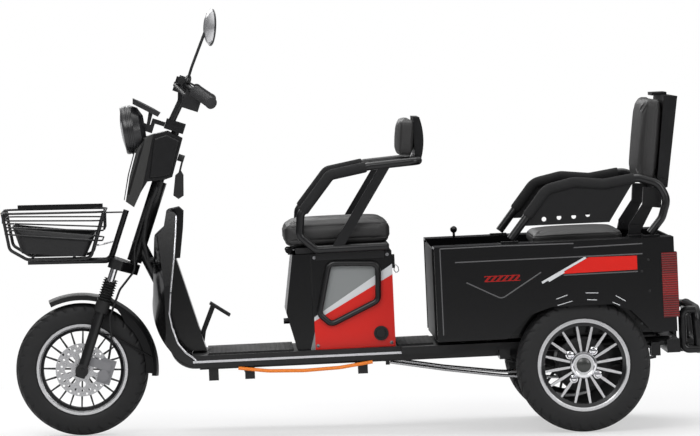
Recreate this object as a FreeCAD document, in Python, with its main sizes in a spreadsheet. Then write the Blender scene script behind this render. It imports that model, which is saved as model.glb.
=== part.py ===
"""Electric tricycle with a driver's seat box and a passenger box between two rear wheels.

Millimetres and degrees.  X points forward, Y to the vehicle's left, Z up.  The origin lies on the
ground, under the middle of the vehicle's bounding box.
"""
import FreeCAD, Part
import math
import os

import Sketcher
from FreeCAD import Placement, Rotation, Vector

# name, value, what it measures
SIZES = [
    # tyres, rims and where the wheels stand
    ("tyre_radius", 205, "outer radius of all three tyres"),
    ("tyre_half_width", 41, "half the width of a tyre at its bulge"),
    ("tyre_shoulder", 35, "half the width of the tread"),
    ("shoulder_drop", 10, "drop from the crown of the tread to its shoulder"),
    ("rim_radius", 141, "outer radius of a rim flange"),
    ("rim_half_width", 31, "half the width of a rim over its flanges"),
    ("rim_flange", 6, "thickness of a rim flange"),
    ("rim_well", 127, "radius of the seat that the tyre's bead sits on"),
    ("rim_wall", 8, "thickness of the rim under the bead seat"),
    ("bead_gap", 0.4, "clearance between the tyre and the rim"),
    ("rear_track", 616, "distance between the middles of the rear tyres"),
    ("rear_axle_x", -693, "the rear axle's place along the vehicle"),
    ("axle_drop", 205, "height of the axles over the frame's datum"),
    ("front_spokes", 20, "number of spokes of the front wheel"),
    ("rear_spokes", 16, "number of spokes of a rear wheel"),
    ("front_hub_radius", 30, "radius of the front hub"),
    ("front_hub_half", 36, "half the length of the front hub"),
    ("axle_radius", 7, "radius of the front axle"),
    ("bearing_gap", 0.3, "clearance of a bearing, pin or bush"),
    ("front_spoke_wide", 6, "width of a front spoke"),
    ("front_spoke_deep", 14, "depth of a front spoke along the axle"),
    ("disc_radius", 82, "radius of the front brake disc"),
    ("disc_thick", 4, "thickness of the brake disc"),
    ("disc_windows", 8, "number of large windows in the brake disc"),
    ("disc_window_radius", 10, "radius of those windows"),
    ("disc_window_ring", 44, "radius of the ring that the windows stand on"),
    ("disc_holes", 18, "number of small holes in each ring of the brake disc"),
    ("disc_hole_radius", 3.5, "radius of those holes"),
    ("front_first_spoke", 16, "turn of the front wheel's first spoke"),
    ("rear_first_spoke", 9, "turn of a rear wheel's first spoke"),
    ("rear_hub_radius", 40, "radius of a rear hub"),
    ("rear_spoke_wide", 9, "width of a rear spoke"),
    ("rear_spoke_deep", 16, "depth of a rear spoke along the axle"),
    ("rear_face", 20, "the rear spokes' outer face, out from the wheel's middle"),
    ("half_shaft", 14, "radius of the shaft that a rear hub sits on"),
    # steering
    ("rake", 18.9, "lean of the steering axis from the vertical"),
    ("pitch", 1.4, "nose-down lean of the frame"),
    ("crown_x", 672, "place of the steering axis at the fork crown"),
    ("crown_rise", 533.4, "height of the fork crown over the frame's datum"),
    ("fork_offset", 51.6, "fork legs ahead of the steering axis"),
    ("fork_length", 364.8, "front axle below the crown, along the steering axis"),
    ("leg_spread", 74, "fork leg out from the middle"),
    ("slider_radius", 15.5, "radius of the lower fork leg"),
    ("stanchion_radius", 11.5, "radius of the upper fork leg"),
    ("boot_radius", 23, "outer radius of the fork's bellows"),
    ("boot_top", -75, "top of the bellows, along the steering axis"),
    ("boot_end", -141, "end of the bellows and start of its collar"),
    ("collar_end", -176, "end of the collar under the bellows"),
    ("crown_top", -5, "top of the fork crown"),
    ("crown_thick", 30, "thickness of the fork crown"),
    ("head_radius", 23, "outer radius of the head tube"),
    ("head_low", 2, "lower end of the head tube"),
    ("head_high", 262, "upper end of the head tube"),
    ("stem_radius", 12.5, "radius of the steering stem"),
    ("mudguard_gap", 25, "clearance between the front tyre and its mudguard"),
    ("mudguard_wall", 3, "thickness of the mudguard"),
    ("mudguard_width", 96, "width of the mudguard"),
    ("mudguard_front", 25, "reach of the mudguard ahead of the top, in degrees"),
    ("mudguard_rear", 96, "reach of the mudguard behind the top, in degrees"),
    # basket
    ("basket_rear", 756, "place of the basket's rear rim"),
    ("basket_front", 1074, "place of the basket's front rim"),
    ("basket_wide", 330, "width of the basket"),
    ("basket_low", 560, "height of the basket's floor"),
    ("basket_rim", 137, "height of the basket's rim over its floor"),
    ("basket_waist", 68, "height of the tub's rear edge over its floor"),
    ("basket_rise", 30, "rise of the tub's edge from its rear to its front"),
    ("basket_board", 14, "height of the board along the basket's right rim"),
    ("basket_wire", 3.5, "radius of the basket's rim wire"),
    # steering column dress
    ("bar_radius", 11, "radius of the handlebar"),
    ("bar_rise", 567, "handlebar clamp over the crown, along the steering axis"),
    ("bar_ahead", 30, "handlebar clamp ahead of the steering axis"),
    ("grip_out", 362, "end of a grip out from the middle"),
    ("grip_in", 240, "inner end of a grip"),
    ("grip_back", -78, "end of a grip behind the steering axis"),
    ("grip_rise", 547, "end of a grip over the crown"),
    ("grip_radius", 17, "outer radius of a grip"),
    ("mirror_out", 300, "middle of a mirror out from the middle"),
    ("mirror_rise", 771, "middle of a mirror over the crown"),
    ("mirror_high", 110, "height of a mirror"),
    ("mirror_wide", 130, "width of a mirror"),
    ("lamp_radius", 74, "radius of the headlight's shell"),
    ("lamp_rise", 380, "middle of the headlight's face over the crown"),
    ("lamp_front", 150, "middle of the headlight's face ahead of the steering axis"),
    ("lamp_deep", 62, "depth of the headlight"),
    ("lamp_dome", 9, "bulge of the headlight's glass"),
    ("lamp_tilt", 27, "tilt of the headlight from square to the steering axis"),
    ("lamp_gap", 2, "clearance between the headlight and the shroud"),
    ("shroud_half", 60, "half the width of the shroud over the steering column"),
    ("shroud_panel", 6, "thickness of the raised panels on the shroud's sides"),
    ("shroud_wall", 3, "thickness of the shroud"),
    # leg shield, tunnel and deck
    ("shield_top", 706, "top of the leg shield"),
    ("shield_front", 609, "foremost face of the leg shield"),
    ("shield_half", 200, "half the width of the leg shield at the deck"),
    ("shield_top_half", 150, "half the width of the leg shield at its top"),
    ("shield_wall", 4, "thickness of the leg shield"),
    ("shield_bottom", 225, "bottom of the leg shield"),
    ("tunnel_half", 70, "half the width of the cover behind the leg shield"),
    ("tunnel_top", 557, "top of that cover"),
    ("tunnel_rear", 446, "rear end of that cover on the deck"),
    ("console_half", 62, "half the width of the console behind the leg shield's top"),
    ("tunnel_wall", 3, "thickness of that cover"),
    ("deck_front", 490, "front end of the deck"),
    ("deck_rear", -150, "rear end of the front deck"),
    ("deck_half", 200, "half the width of the deck"),
    ("deck_top", 262, "upper face of the deck"),
    ("deck_thick", 8, "thickness of the deck's floor"),
    ("deck_low", 225, "lower edge of the deck's side moulding"),
    ("deck_side", 8, "thickness of the deck's side moulding"),
    ("mat_thick", 6, "thickness of the rubber mats"),
    ("mat_half", 182, "half the width of the mats"),
    ("trim_high", 7, "height of the bright trim strip"),
    ("trim_level", 240, "lower edge of the bright trim strip"),
    ("rear_deck_end", -600, "rear end of the rear deck"),
    ("rear_deck_half", 240, "half the width of the rear deck"),
    # frame
    ("rail_out", 110, "frame rail out from the middle"),
    ("rail_wide", 30, "width of a frame rail"),
    ("rail_high", 40, "height of a frame rail"),
    ("down_tube", 19, "radius of the down tube"),
    ("rear_rail_out", 150, "rear frame tube out from the middle"),
    ("rear_rail_radius", 15, "radius of a rear frame tube"),
    ("cross_square", 40, "side of the square cross tube at the rear"),
    ("cross_half", 212, "half the length of that cross tube"),
    ("cross_x", -985, "place of that cross tube"),
    ("cross_level", 225, "height of that cross tube"),
    ("axle_tube", 22, "radius of the rear axle's tube"),
    ("gear_radius", 62, "radius of the drive housing on the rear axle"),
    ("spring_out", 190, "leaf spring out from the middle"),
    ("leaf_wide", 40, "width of a leaf spring"),
    ("leaf_thick", 6, "thickness of one leaf"),
    # seat box and driver's seat
    ("box_front", 197, "foremost corner of the seat box"),
    ("box_rear", -134, "rear face of the seat box"),
    ("box_half", 168, "half the width of the seat box"),
    ("box_top", 556, "upper rim of the seat box"),
    ("box_wall", 4, "wall of the seat box"),
    ("cushion_low", 576, "underside of the driver's cushion"),
    ("cushion_thick", 82, "thickness of the driver's cushion"),
    ("cushion_front", 196, "front of the driver's cushion"),
    ("cushion_half", 160, "half the width of the driver's cushion"),
    ("arm_out", 190, "driver's arm tube out from the middle"),
    ("arm_radius", 12.5, "radius of the driver's arm tubes"),
    ("pad_radius", 19, "outer radius of the foam sleeves"),
    ("loop_radius", 9, "radius of the loops on the seat box's sides"),
    # passenger box
    ("cargo_front", -256, "front face of the passenger box"),
    ("cargo_rear", -985, "rear face of the passenger box"),
    ("cargo_half", 365, "half the width of the passenger box"),
    ("cargo_inner", 250, "inner wall out from the middle"),
    ("cargo_low", 280, "lower edge of the passenger box's sides"),
    ("cargo_top", 568, "upper rim of the passenger box"),
    ("cargo_sheet", 6, "thickness of the passenger box's panels"),
    ("cargo_floor", 274, "underside of the passenger box's floor"),
    ("arch_gap", 42, "clearance between a rear tyre and its arch"),
    ("arch_level", 371, "top of the wheel arch"),
    ("bench_front", -560, "front of the passengers' bench"),
    ("bench_top", 545, "top of the bench's sheet box"),
    ("rear_seat_high", 44, "thickness of the passengers' cushion"),
    ("rear_seat_half", 185, "half the width of the passengers' cushion"),
    ("rear_arm_out", 300, "passengers' arm tube out from the middle"),
    ("plate_thick", 3, "thickness of the pierced side plates"),
    ("back_half", 190, "half the width of the passengers' backrest"),
    ("pivot_x", -880, "backrest hinge along the vehicle"),
    ("pivot_level", 588, "height of the backrest hinge"),
    ("pivot_out", 205, "backrest hinge out from the middle"),
    ("lamp_low", 324, "lower end of a tail lamp"),
    ("lamp_high", 521, "upper end of a tail lamp"),
    ("hoop_half", 172, "half the width of the rear bumper hoop"),
    ("hoop_radius", 16, "radius of the rear bumper hoop's tube"),
    ("hoop_reach", 63, "bumper hoop behind the square cross tube"),
    ("hoop_high", 122, "height of the bumper hoop between its tubes"),
]


class Size:
    """A number together with the sheet expression that gives it."""

    def __init__(self, value, text):
        self.value = float(value)
        self.text = text

    def joined(self, other, value, sign, turned=False):
        first, second = (as_size(other), self) if turned else (self, as_size(other))
        return Size(value, f"({first.text} {sign} {second.text})")

    def __add__(self, other):
        return self.joined(other, self.value + number(other), "+")

    def __sub__(self, other):
        return self.joined(other, self.value - number(other), "-")

    def __mul__(self, other):
        return self.joined(other, self.value * number(other), "*")

    def __truediv__(self, other):
        return self.joined(other, self.value / number(other), "/")

    def __radd__(self, other):
        return self.joined(other, number(other) + self.value, "+", True)

    def __rsub__(self, other):
        return self.joined(other, number(other) - self.value, "-", True)

    def __rmul__(self, other):
        return self.joined(other, number(other) * self.value, "*", True)

    def __neg__(self):
        return 0 - self


def number(value):
    return value.value if isinstance(value, Size) else float(value)


def as_size(value):
    return value if isinstance(value, Size) else Size(value, f"{float(value):.6f}")


class Sizes:
    """The sheet's cells by name."""


DOC = FreeCAD.newDocument("electric_tricycle")
SHEET = DOC.addObject("Spreadsheet::Sheet", "Sizes")
S = Sizes()
for row, (name, value, meaning) in enumerate(SIZES, start=1):
    SHEET.set(f"A{row}", meaning)
    SHEET.set(f"B{row}", str(value))
    SHEET.setAlias(f"B{row}", name)
    setattr(S, name, Size(value, f"Sizes.{name}"))
DOC.recompute()

NODES = {}
X_AXIS, Y_AXIS, Z_AXIS = Vector(1, 0, 0), Vector(0, 1, 0), Vector(0, 0, 1)


# Binding and placing

def bind(thing, **sizes):
    for path, size in sizes.items():
        thing.setExpression(path.replace("__", "."), as_size(size).text)
    return thing


def place(thing, x=0, y=0, z=0, axis=None, angle=0):
    """Put a thing at a point, turned about an axis."""
    if axis is not None:
        thing.Placement = Placement(Vector(), Rotation(axis, number(angle)))
        if isinstance(angle, Size):
            thing.setExpression("Placement.Rotation.Angle", angle.text)
    return bind(thing, Placement__Base__x=x, Placement__Base__y=y, Placement__Base__z=z)


def free_of_place(thing):
    """A thing that already stands somewhere is wrapped, so that the wrapper can be placed."""
    if any("Placement" in path for path, _ in thing.ExpressionEngine):
        return group(thing.Name + "_set", thing)
    return thing


def on_frame(thing):
    """Frame axes: tipped nose-down about the ground, at the height that the tyres give."""
    thing = free_of_place(thing)
    return place(thing, z=S.tyre_radius - S.axle_drop, axis=Y_AXIS, angle=S.pitch)


def on_fork(thing):
    """Fork axes: Z runs up the steering axis from the crown, X forward."""
    thing = free_of_place(thing)
    return place(thing, S.crown_x, 0, S.crown_rise + S.tyre_radius - S.axle_drop, Vector(0, -1, 0), S.rake)


def frame_point(x, z):
    """A point of the side view, from world axes to frame axes."""
    turn = math.radians(S.pitch.value)
    z = z - (S.tyre_radius.value - S.axle_drop.value)
    return (x * math.cos(turn) - z * math.sin(turn), x * math.sin(turn) + z * math.cos(turn))


def fork_to_world(x, z):
    """A point of the side view, from fork axes to world axes."""
    turn = math.radians(S.rake.value)
    base_z = S.crown_rise.value + S.tyre_radius.value - S.axle_drop.value
    return (S.crown_x.value + x * math.cos(turn) - z * math.sin(turn),
            base_z + x * math.sin(turn) + z * math.cos(turn))


def world_to_fork(x, z):
    turn = math.radians(S.rake.value)
    dx = x - S.crown_x.value
    dz = z - (S.crown_rise.value + S.tyre_radius.value - S.axle_drop.value)
    return (dx * math.cos(turn) + dz * math.sin(turn), -dx * math.sin(turn) + dz * math.cos(turn))


# Shapes

def box(name, x_range, y_range, z_range):
    """A block between two values on each axis."""
    block = DOC.addObject("Part::Box", name)
    sides = [as_size(high) - low for low, high in (x_range, y_range, z_range)]
    bind(block, Length=sides[0], Width=sides[1], Height=sides[2])
    return place(block, x_range[0], y_range[0], z_range[0])


def rod(name, radius, length, x, y, z, axis="z"):
    """A round bar that starts at a point and runs along one axis."""
    bar = DOC.addObject("Part::Cylinder", name)
    bind(bar, Radius=radius, Height=length)
    turns = {"z": (Z_AXIS, 0), "x": (Y_AXIS, 90), "y": (X_AXIS, -90)}
    return place(bar, x, y, z, *turns[axis])


def sketch_on(body, role):
    sketch = body.newObject("Sketcher::SketchObject", body.Name + "_sketch")
    plane = [item for item in body.Origin.OriginFeatures if item.Role == role][0]
    sketch.AttachmentSupport = (plane, [""])
    sketch.MapMode = "FlatFace"
    return sketch


def draw(sketch, outline):
    """Draw a closed outline of lines, with every corner bound to its sizes.

    An entry is a corner (x, y), or (x, y, mid_x, mid_y) where an arc through the middle point ends.
    """
    first = sketch.GeometryCount
    corners = [Vector(number(entry[0]), number(entry[1]), 0) for entry in outline]
    starts = []
    for index, entry in enumerate(outline):
        start, end = corners[index - 1], corners[index]
        if len(entry) == 2:
            sketch.addGeometry(Part.LineSegment(start, end))
        else:
            middle = Vector(number(entry[2]), number(entry[3]), 0)
            sketch.addGeometry(Part.Arc(start, middle, end))
        begins = sketch.getPoint(first + index, 1).distanceToPoint(start) < 1e-6
        starts.append((1, 2) if begins else (2, 1))
    for index, entry in enumerate(outline):
        following = (index + 1) % len(outline)
        tie = Sketcher.Constraint("Coincident", first + index, starts[index][1],
                                  first + following, starts[following][0])
        sketch.addConstraint(tie)
        for kind, size, value in (("DistanceX", entry[0], corners[index].x),
                                  ("DistanceY", entry[1], corners[index].y)):
            rule = Sketcher.Constraint(kind, -1, 1, first + index, starts[index][1], value)
            place_in_list = sketch.addConstraint(rule)
            if isinstance(size, Size):
                sketch.setExpression(f"Constraints[{place_in_list}]", size.text)


def slab(name, outline, half, y_mid=0, role="XZ_Plane"):
    """A side-view outline given a width; half is half that width."""
    body = DOC.addObject("PartDesign::Body", name)
    sketch = sketch_on(body, role)
    # the XZ plane faces backwards along Y, the XY plane up and the YZ plane forwards
    sign = -1 if role == "XZ_Plane" else 1
    sketch.AttachmentOffset = Placement(Vector(0, 0, sign * number(y_mid)), Rotation())
    sketch.setExpression("AttachmentOffset.Base.z", (sign * as_size(y_mid)).text)
    draw(sketch, outline)
    pad = body.newObject("PartDesign::Pad", name + "_pad")
    pad.Profile = sketch
    pad.SideType = "Symmetric"
    bind(pad, Length=2 * as_size(half))
    return body


def round_edges(body, radius, chosen):
    """Round the edges of a body that the given test picks."""
    DOC.recompute()
    base = body.Tip
    names = [f"Edge{index}" for index, edge in enumerate(base.Shape.Edges, start=1) if chosen(edge)]
    fillet = body.newObject("PartDesign::Fillet", body.Name + "_round")
    fillet.Base = (base, names)
    bind(fillet, Radius=radius)
    return body


def runs_along(axis):
    """A test for edges that are straight and parallel to an axis."""
    def test(edge):
        if edge.Curve.TypeId != "Part::GeomLine":
            return False
        return abs(edge.tangentAt(edge.FirstParameter).dot(axis)) > 0.999
    return test


def turned(name, outline):
    """A ring about the Y axis; the outline's points are (radius, place along Y)."""
    body = DOC.addObject("PartDesign::Body", name)
    sketch = sketch_on(body, "XY_Plane")
    draw(sketch, outline)
    spin = body.newObject("PartDesign::Revolution", name + "_turn")
    spin.Profile = sketch
    spin.ReferenceAxis = (sketch, ["V_Axis"])
    spin.Angle = 360
    return body


def route(points, bend):
    """A wire of straight runs joined by tangent arcs of one bend radius."""
    points = [Vector(*[number(value) for value in point]) for point in points]
    bend = number(bend)
    edges = []
    start = points[0]
    for index in range(1, len(points) - 1):
        before = (points[index - 1] - points[index]).normalize()
        after = (points[index + 1] - points[index]).normalize()
        half_turn = before.getAngle(after) / 2
        back = bend / math.tan(half_turn)
        arc_start, arc_end = points[index] + before * back, points[index] + after * back
        inward = (before + after).normalize()
        middle = points[index] + inward * (bend / math.sin(half_turn) - bend)
        if start.distanceToPoint(arc_start) > 1e-4:
            edges.append(Part.LineSegment(start, arc_start).toShape())
        edges.append(Part.Arc(arc_start, middle, arc_end).toShape())
        start = arc_end
    if start.distanceToPoint(points[-1]) > 1e-4:
        edges.append(Part.LineSegment(start, points[-1]).toShape())
    return Part.Wire(edges)


def tube(name, points, radius, bend=40):
    """A round bar bent along a route."""
    path = DOC.addObject("Part::Feature", name + "_path")
    path.Shape = route(points, bend)
    circle = DOC.addObject("Part::Circle", name + "_ring")
    bind(circle, Radius=radius)
    first = path.Shape.Edges[0]
    start = first.valueAt(first.FirstParameter)
    circle.Placement = Placement(start, Rotation(Z_AXIS, first.tangentAt(first.FirstParameter)))
    sweep = DOC.addObject("Part::Sweep", name)
    sweep.Sections = [circle]
    sweep.Spine = (path, [f"Edge{index + 1}" for index in range(len(path.Shape.Edges))])
    sweep.Solid = True
    return sweep


def fuse(name, *things):
    joined = DOC.addObject("Part::MultiFuse", name)
    joined.Shapes = list(things)
    return joined


def cut(name, base, *tools):
    tool = tools[0] if len(tools) == 1 else fuse(name + "_tool", *tools)
    result = DOC.addObject("Part::Cut", name)
    result.Base = base
    result.Tool = tool
    return result


def common(name, *things):
    result = DOC.addObject("Part::MultiCommon", name)
    result.Shapes = list(things)
    return result


def mirrored(name, thing):
    """The same thing on the vehicle's other side."""
    twin = DOC.addObject("Part::Mirroring", name)
    twin.Source = thing
    twin.Normal = Y_AXIS
    return twin


def group(name, *things):
    together = DOC.addObject("Part::Compound", name)
    together.Links = list(things)
    return together


def both_sides(name, thing):
    return group(name, thing, mirrored(name + "_twin", thing))


def node(name, thing):
    """Name a finished sub-part."""
    thing.Label = name
    NODES[name] = thing
    return thing


# Wheels

def tyre(name, x, y, z):
    bead = S.rim_well + S.bead_gap
    seat = S.rim_radius + S.bead_gap
    neck = S.rim_half_width - S.rim_flange - S.bead_gap
    shoulder = S.tyre_radius - S.shoulder_drop
    bulge = (S.rim_radius + S.tyre_radius) / 2
    ring = turned(name + "_ring", [
        (bead, -neck),
        (seat, -neck),
        (seat, -(S.rim_half_width + 2)),
        (shoulder, -S.tyre_shoulder, bulge, -S.tyre_half_width),
        (shoulder, S.tyre_shoulder, S.tyre_radius, 0),
        (seat, S.rim_half_width + 2, bulge, S.tyre_half_width),
        (seat, neck),
        (bead, neck),
    ])
    node(name, place(ring, x, y, z))


def rim_ring(name):
    inner = S.rim_well - S.rim_wall
    face = S.rim_half_width
    flange = S.rim_half_width - S.rim_flange
    return turned(name, [
        (S.rim_radius, -face),
        (S.rim_radius, -flange),
        (S.rim_well, -flange),
        (S.rim_well, flange),
        (S.rim_radius, flange),
        (S.rim_radius, face),
        (S.rim_radius - 8, face),
        (inner, face - 10),
        (inner, 10 - face),
        (S.rim_radius - 8, -face),
    ])


def spokes(name, count, first, inner, outer, wide, deep, y_mid):
    """Bars from the hub to the rim, widest half way and turned evenly from the first one."""
    bars = []
    middle = (inner + outer) / 2
    for index in range(int(count.value)):
        bar = slab(f"{name}_{index}", [
            (inner, -wide * 0.35),
            (middle, -wide / 2),
            (outer, -wide * 0.35),
            (outer, wide * 0.35),
            (middle, wide / 2),
            (inner, wide * 0.35),
        ], deep / 2, y_mid)
        angle = first.value + 360 / count.value * index
        bar.Placement = Placement(Vector(), Rotation(Y_AXIS, angle))
        bars.append(bar)
    return bars


def front_wheel():
    x, z = fork_to_world(S.fork_offset.value, -S.fork_length.value)
    tyre("front_tyre", x, 0, z)
    hub = rod("front_hub", S.front_hub_radius, 2 * S.front_hub_half, 0, -S.front_hub_half, 0, "y")
    reach = S.rim_well - S.rim_wall / 2
    bars = spokes("front_spoke", S.front_spokes, S.front_first_spoke, S.front_hub_radius - 4, reach,
                  S.front_spoke_wide, S.front_spoke_deep, 0)
    bore = rod("front_bore", S.axle_radius + S.bearing_gap, 4 * S.front_hub_half, 0,
               -2 * S.front_hub_half, 0, "y")
    wheel = cut("front_rim_cut", fuse("front_rim_body", rim_ring("front_rim_ring"), hub, *bars), bore)
    node("front_rim", place(wheel, x, 0, z))
    disc_y = S.front_hub_half + 1
    plate = rod("disc_plate", S.disc_radius, S.disc_thick, 0, disc_y, 0, "y")
    holes = [rod("disc_bore", S.axle_radius + S.bearing_gap, S.disc_thick, 0, disc_y, 0, "y")]
    outer_ring = S.disc_radius - 7
    patterns = (("window", S.disc_windows, S.disc_window_ring, S.disc_window_radius, 0),
                ("inner_hole", S.disc_holes, outer_ring - 11, S.disc_hole_radius, 0.5),
                ("outer_hole", S.disc_holes, outer_ring, S.disc_hole_radius, 0))
    for label, count, ring, radius, shift in patterns:
        for index in range(int(count.value)):
            turn = 2 * math.pi * (index + shift) / count.value
            holes.append(rod(f"disc_{label}_{index}", radius, S.disc_thick, ring * math.cos(turn), disc_y,
                             ring * math.sin(turn), "y"))
    disc = cut("brake_disc_body", plate, group("disc_holes", *holes))
    node("brake_disc", place(disc, x, 0, z))


def rear_wheel(side, sign):
    x, z = S.rear_axle_x, S.tyre_radius
    y = sign * S.rear_track / 2
    tyre(f"rear_tyre_{side}", x, y, z)
    hub_half = S.rim_half_width - 4
    hub = rod(f"rear_hub_{side}", S.rear_hub_radius, 2 * hub_half, 0, -hub_half, 0, "y")
    reach = S.rim_well - S.rim_wall / 2
    bars = spokes(f"rear_spoke_{side}", S.rear_spokes, S.rear_first_spoke, S.rear_hub_radius - 4, reach,
                  S.rear_spoke_wide, S.rear_spoke_deep, sign * (S.rear_face - S.rear_spoke_deep / 2))
    bore = rod(f"rear_bore_{side}", S.half_shaft + S.bearing_gap, 4 * hub_half, 0,
               -2 * hub_half, 0, "y")
    body = fuse(f"rear_rim_body_{side}", rim_ring(f"rear_rim_ring_{side}"), hub, *bars)
    node(f"rear_rim_{side}", place(cut(f"rear_rim_cut_{side}", body, bore), x, y, z))


# Fork and what turns with it

def fork():
    crown_low = S.crown_top - S.crown_thick
    plate = slab("crown_plate", [
        (-22, -30),
        (S.fork_offset - 20, -(S.leg_spread + 22)),
        (S.fork_offset + 22, -(S.leg_spread + 22)),
        (S.fork_offset + 22, S.leg_spread + 22),
        (S.fork_offset - 20, S.leg_spread + 22),
        (-22, 30),
    ], S.crown_thick / 2, S.crown_top - S.crown_thick / 2, "XY_Plane")
    round_edges(plate, 14, runs_along(Z_AXIS))
    stem = rod("steering_stem", S.stem_radius, S.head_high + 186 - crown_low, 0, 0, crown_low)
    foot_x, foot_z = world_to_fork(748, 530)
    knee_x, knee_z = world_to_fork(738, 560)
    head_x, head_z = world_to_fork(692, 695)
    post = tube("basket_post", [
        (34, 0, -18),
        (foot_x, 0, foot_z),
        (knee_x, 0, knee_z),
        (head_x, 0, head_z),
    ], 9, 14)
    near, far = world_to_fork(776, 540.7), world_to_fork(1000, 540.7)
    arm = tube("basket_arm", [(near[0], 0, near[1]), (far[0], 0, far[1])], 9)
    node("fork_crown", on_fork(fuse("fork_crown_body", plate, stem, post, arm)))
    gap = S.bearing_gap
    tube_top = crown_low - gap
    legs = rod("stanchion", S.stanchion_radius, tube_top - S.collar_end, S.fork_offset, S.leg_spread,
               S.collar_end)
    node("fork_stanchions", on_fork(both_sides("stanchions", legs)))
    ribs = []
    pitch_of_ribs = (S.boot_top - S.boot_end) / 7
    for index in range(7):
        start = S.boot_end + index * pitch_of_ribs
        ribs.append(rod(f"boot_rib_{index}", S.boot_radius, pitch_of_ribs * 0.6, S.fork_offset,
                        S.leg_spread, start))
    core = rod("boot_core", S.boot_radius - 4, S.boot_top - S.collar_end, S.fork_offset,
               S.leg_spread, S.collar_end)
    collar = rod("boot_collar", S.boot_radius, S.boot_end - S.collar_end - 2, S.fork_offset,
                 S.leg_spread, S.collar_end)
    bore = rod("boot_bore", S.stanchion_radius + gap, S.boot_top - S.collar_end, S.fork_offset,
               S.leg_spread, S.collar_end)
    boot = cut("boot", fuse("boot_body", core, collar, *ribs), bore)
    node("fork_boots", on_fork(both_sides("boots", boot)))
    slider = rod("slider", S.slider_radius, S.collar_end + S.fork_length + 22, S.fork_offset,
                 S.leg_spread, -S.fork_length - 22)
    lug = rod("slider_lug", 20, 2 * S.slider_radius, S.fork_offset, S.leg_spread - S.slider_radius,
              -S.fork_length, "y")
    leg = fuse("slider_body", slider, lug)
    axle_half = S.leg_spread + S.slider_radius + 10
    axle = rod("front_axle_bar", S.axle_radius, 2 * axle_half, S.fork_offset, -axle_half,
               -S.fork_length, "y")
    node("fork_sliders", on_fork(fuse("fork_lower", leg, mirrored("slider_twin", leg), axle)))


def front_mudguard():
    inner = S.tyre_radius + S.mudguard_gap
    half = S.mudguard_width / 2
    span = S.mudguard_front + S.mudguard_rear
    wall = S.mudguard_wall
    shell = turned("mudguard_shell", [
        (inner - 14, -half),
        (inner, -half + 8),
        (inner, half - 8, inner + 7, 0),
        (inner - 14, half),
        (inner - 14, half - wall),
        (inner - wall, half - 9),
        (inner - wall, -half + 9, inner + 7 - wall, 0),
        (inner - 14, -half + wall),
    ])
    x, z = fork_to_world(S.fork_offset.value, -S.fork_length.value)
    keep = DOC.addObject("Part::Cylinder", "mudguard_sector")
    bind(keep, Radius=inner + 40, Height=S.mudguard_width + 20, Angle=span)
    # the sector starts ahead of the top and runs backwards over it
    turn = Rotation(X_AXIS, 90) * Rotation(Z_AXIS, 90 - S.mudguard_front.value)
    keep.Placement = Placement(Vector(0, S.mudguard_width.value / 2 + 10, 0), turn)
    arc = common("mudguard_arc", shell, keep)
    stays = []
    for sign in (-1, 1):
        side = sign * (half.value + 3.2)
        stays.append(tube(f"mudguard_stay_{sign + 2}", [
            (-56.8, sign * S.leg_spread.value, 114),
            (-100, side, 104),
            (-218, side, 34),
        ], 3, 30))
    whole = group("mudguard_body", arc, *stays)
    node("front_mudguard", place(whole, x, 0, z))


def front_brake():
    """The caliper sits behind the left leg and straddles the disc."""
    disc_mid = S.front_hub_half + 1 + S.disc_thick / 2
    half = 14
    block = box("caliper_block", (-42, 0), (disc_mid - half, disc_mid + half), (-54, 22))
    slot = rod("caliper_slot", S.disc_radius + 4, 8, 52, disc_mid - 4, -34, "y")
    piston = rod("caliper_piston", 18, 8, -16, disc_mid + half, -30, "y")
    ear = box("caliper_ear", (-30, 58), (disc_mid + 10, S.leg_spread - S.slider_radius - S.bearing_gap),
              (-14, 14))
    shape = fuse("caliper_form", cut("caliper_shape", block, slot), ear, piston)
    place(shape, S.fork_offset - 52, 0, 34 - S.fork_length)
    node("brake_caliper", on_fork(group("caliper_body", shape)))
    side, drop = S.leg_spread.value + 4, S.fork_length.value
    hose = tube("hose_run", [
        (12, 31, 205),
        (12, 31, 120),
        (10, 31.5, 40),
        (-10, 66.5, -21),
        (16, side, -90),
        (20, side, 184.8 - drop),
        (-8, side - 12, 114.8 - drop),
        (-16, disc_mid.value, 58.2 - drop),
    ], 3.5, 34)
    node("brake_hose", on_fork(hose))


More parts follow.
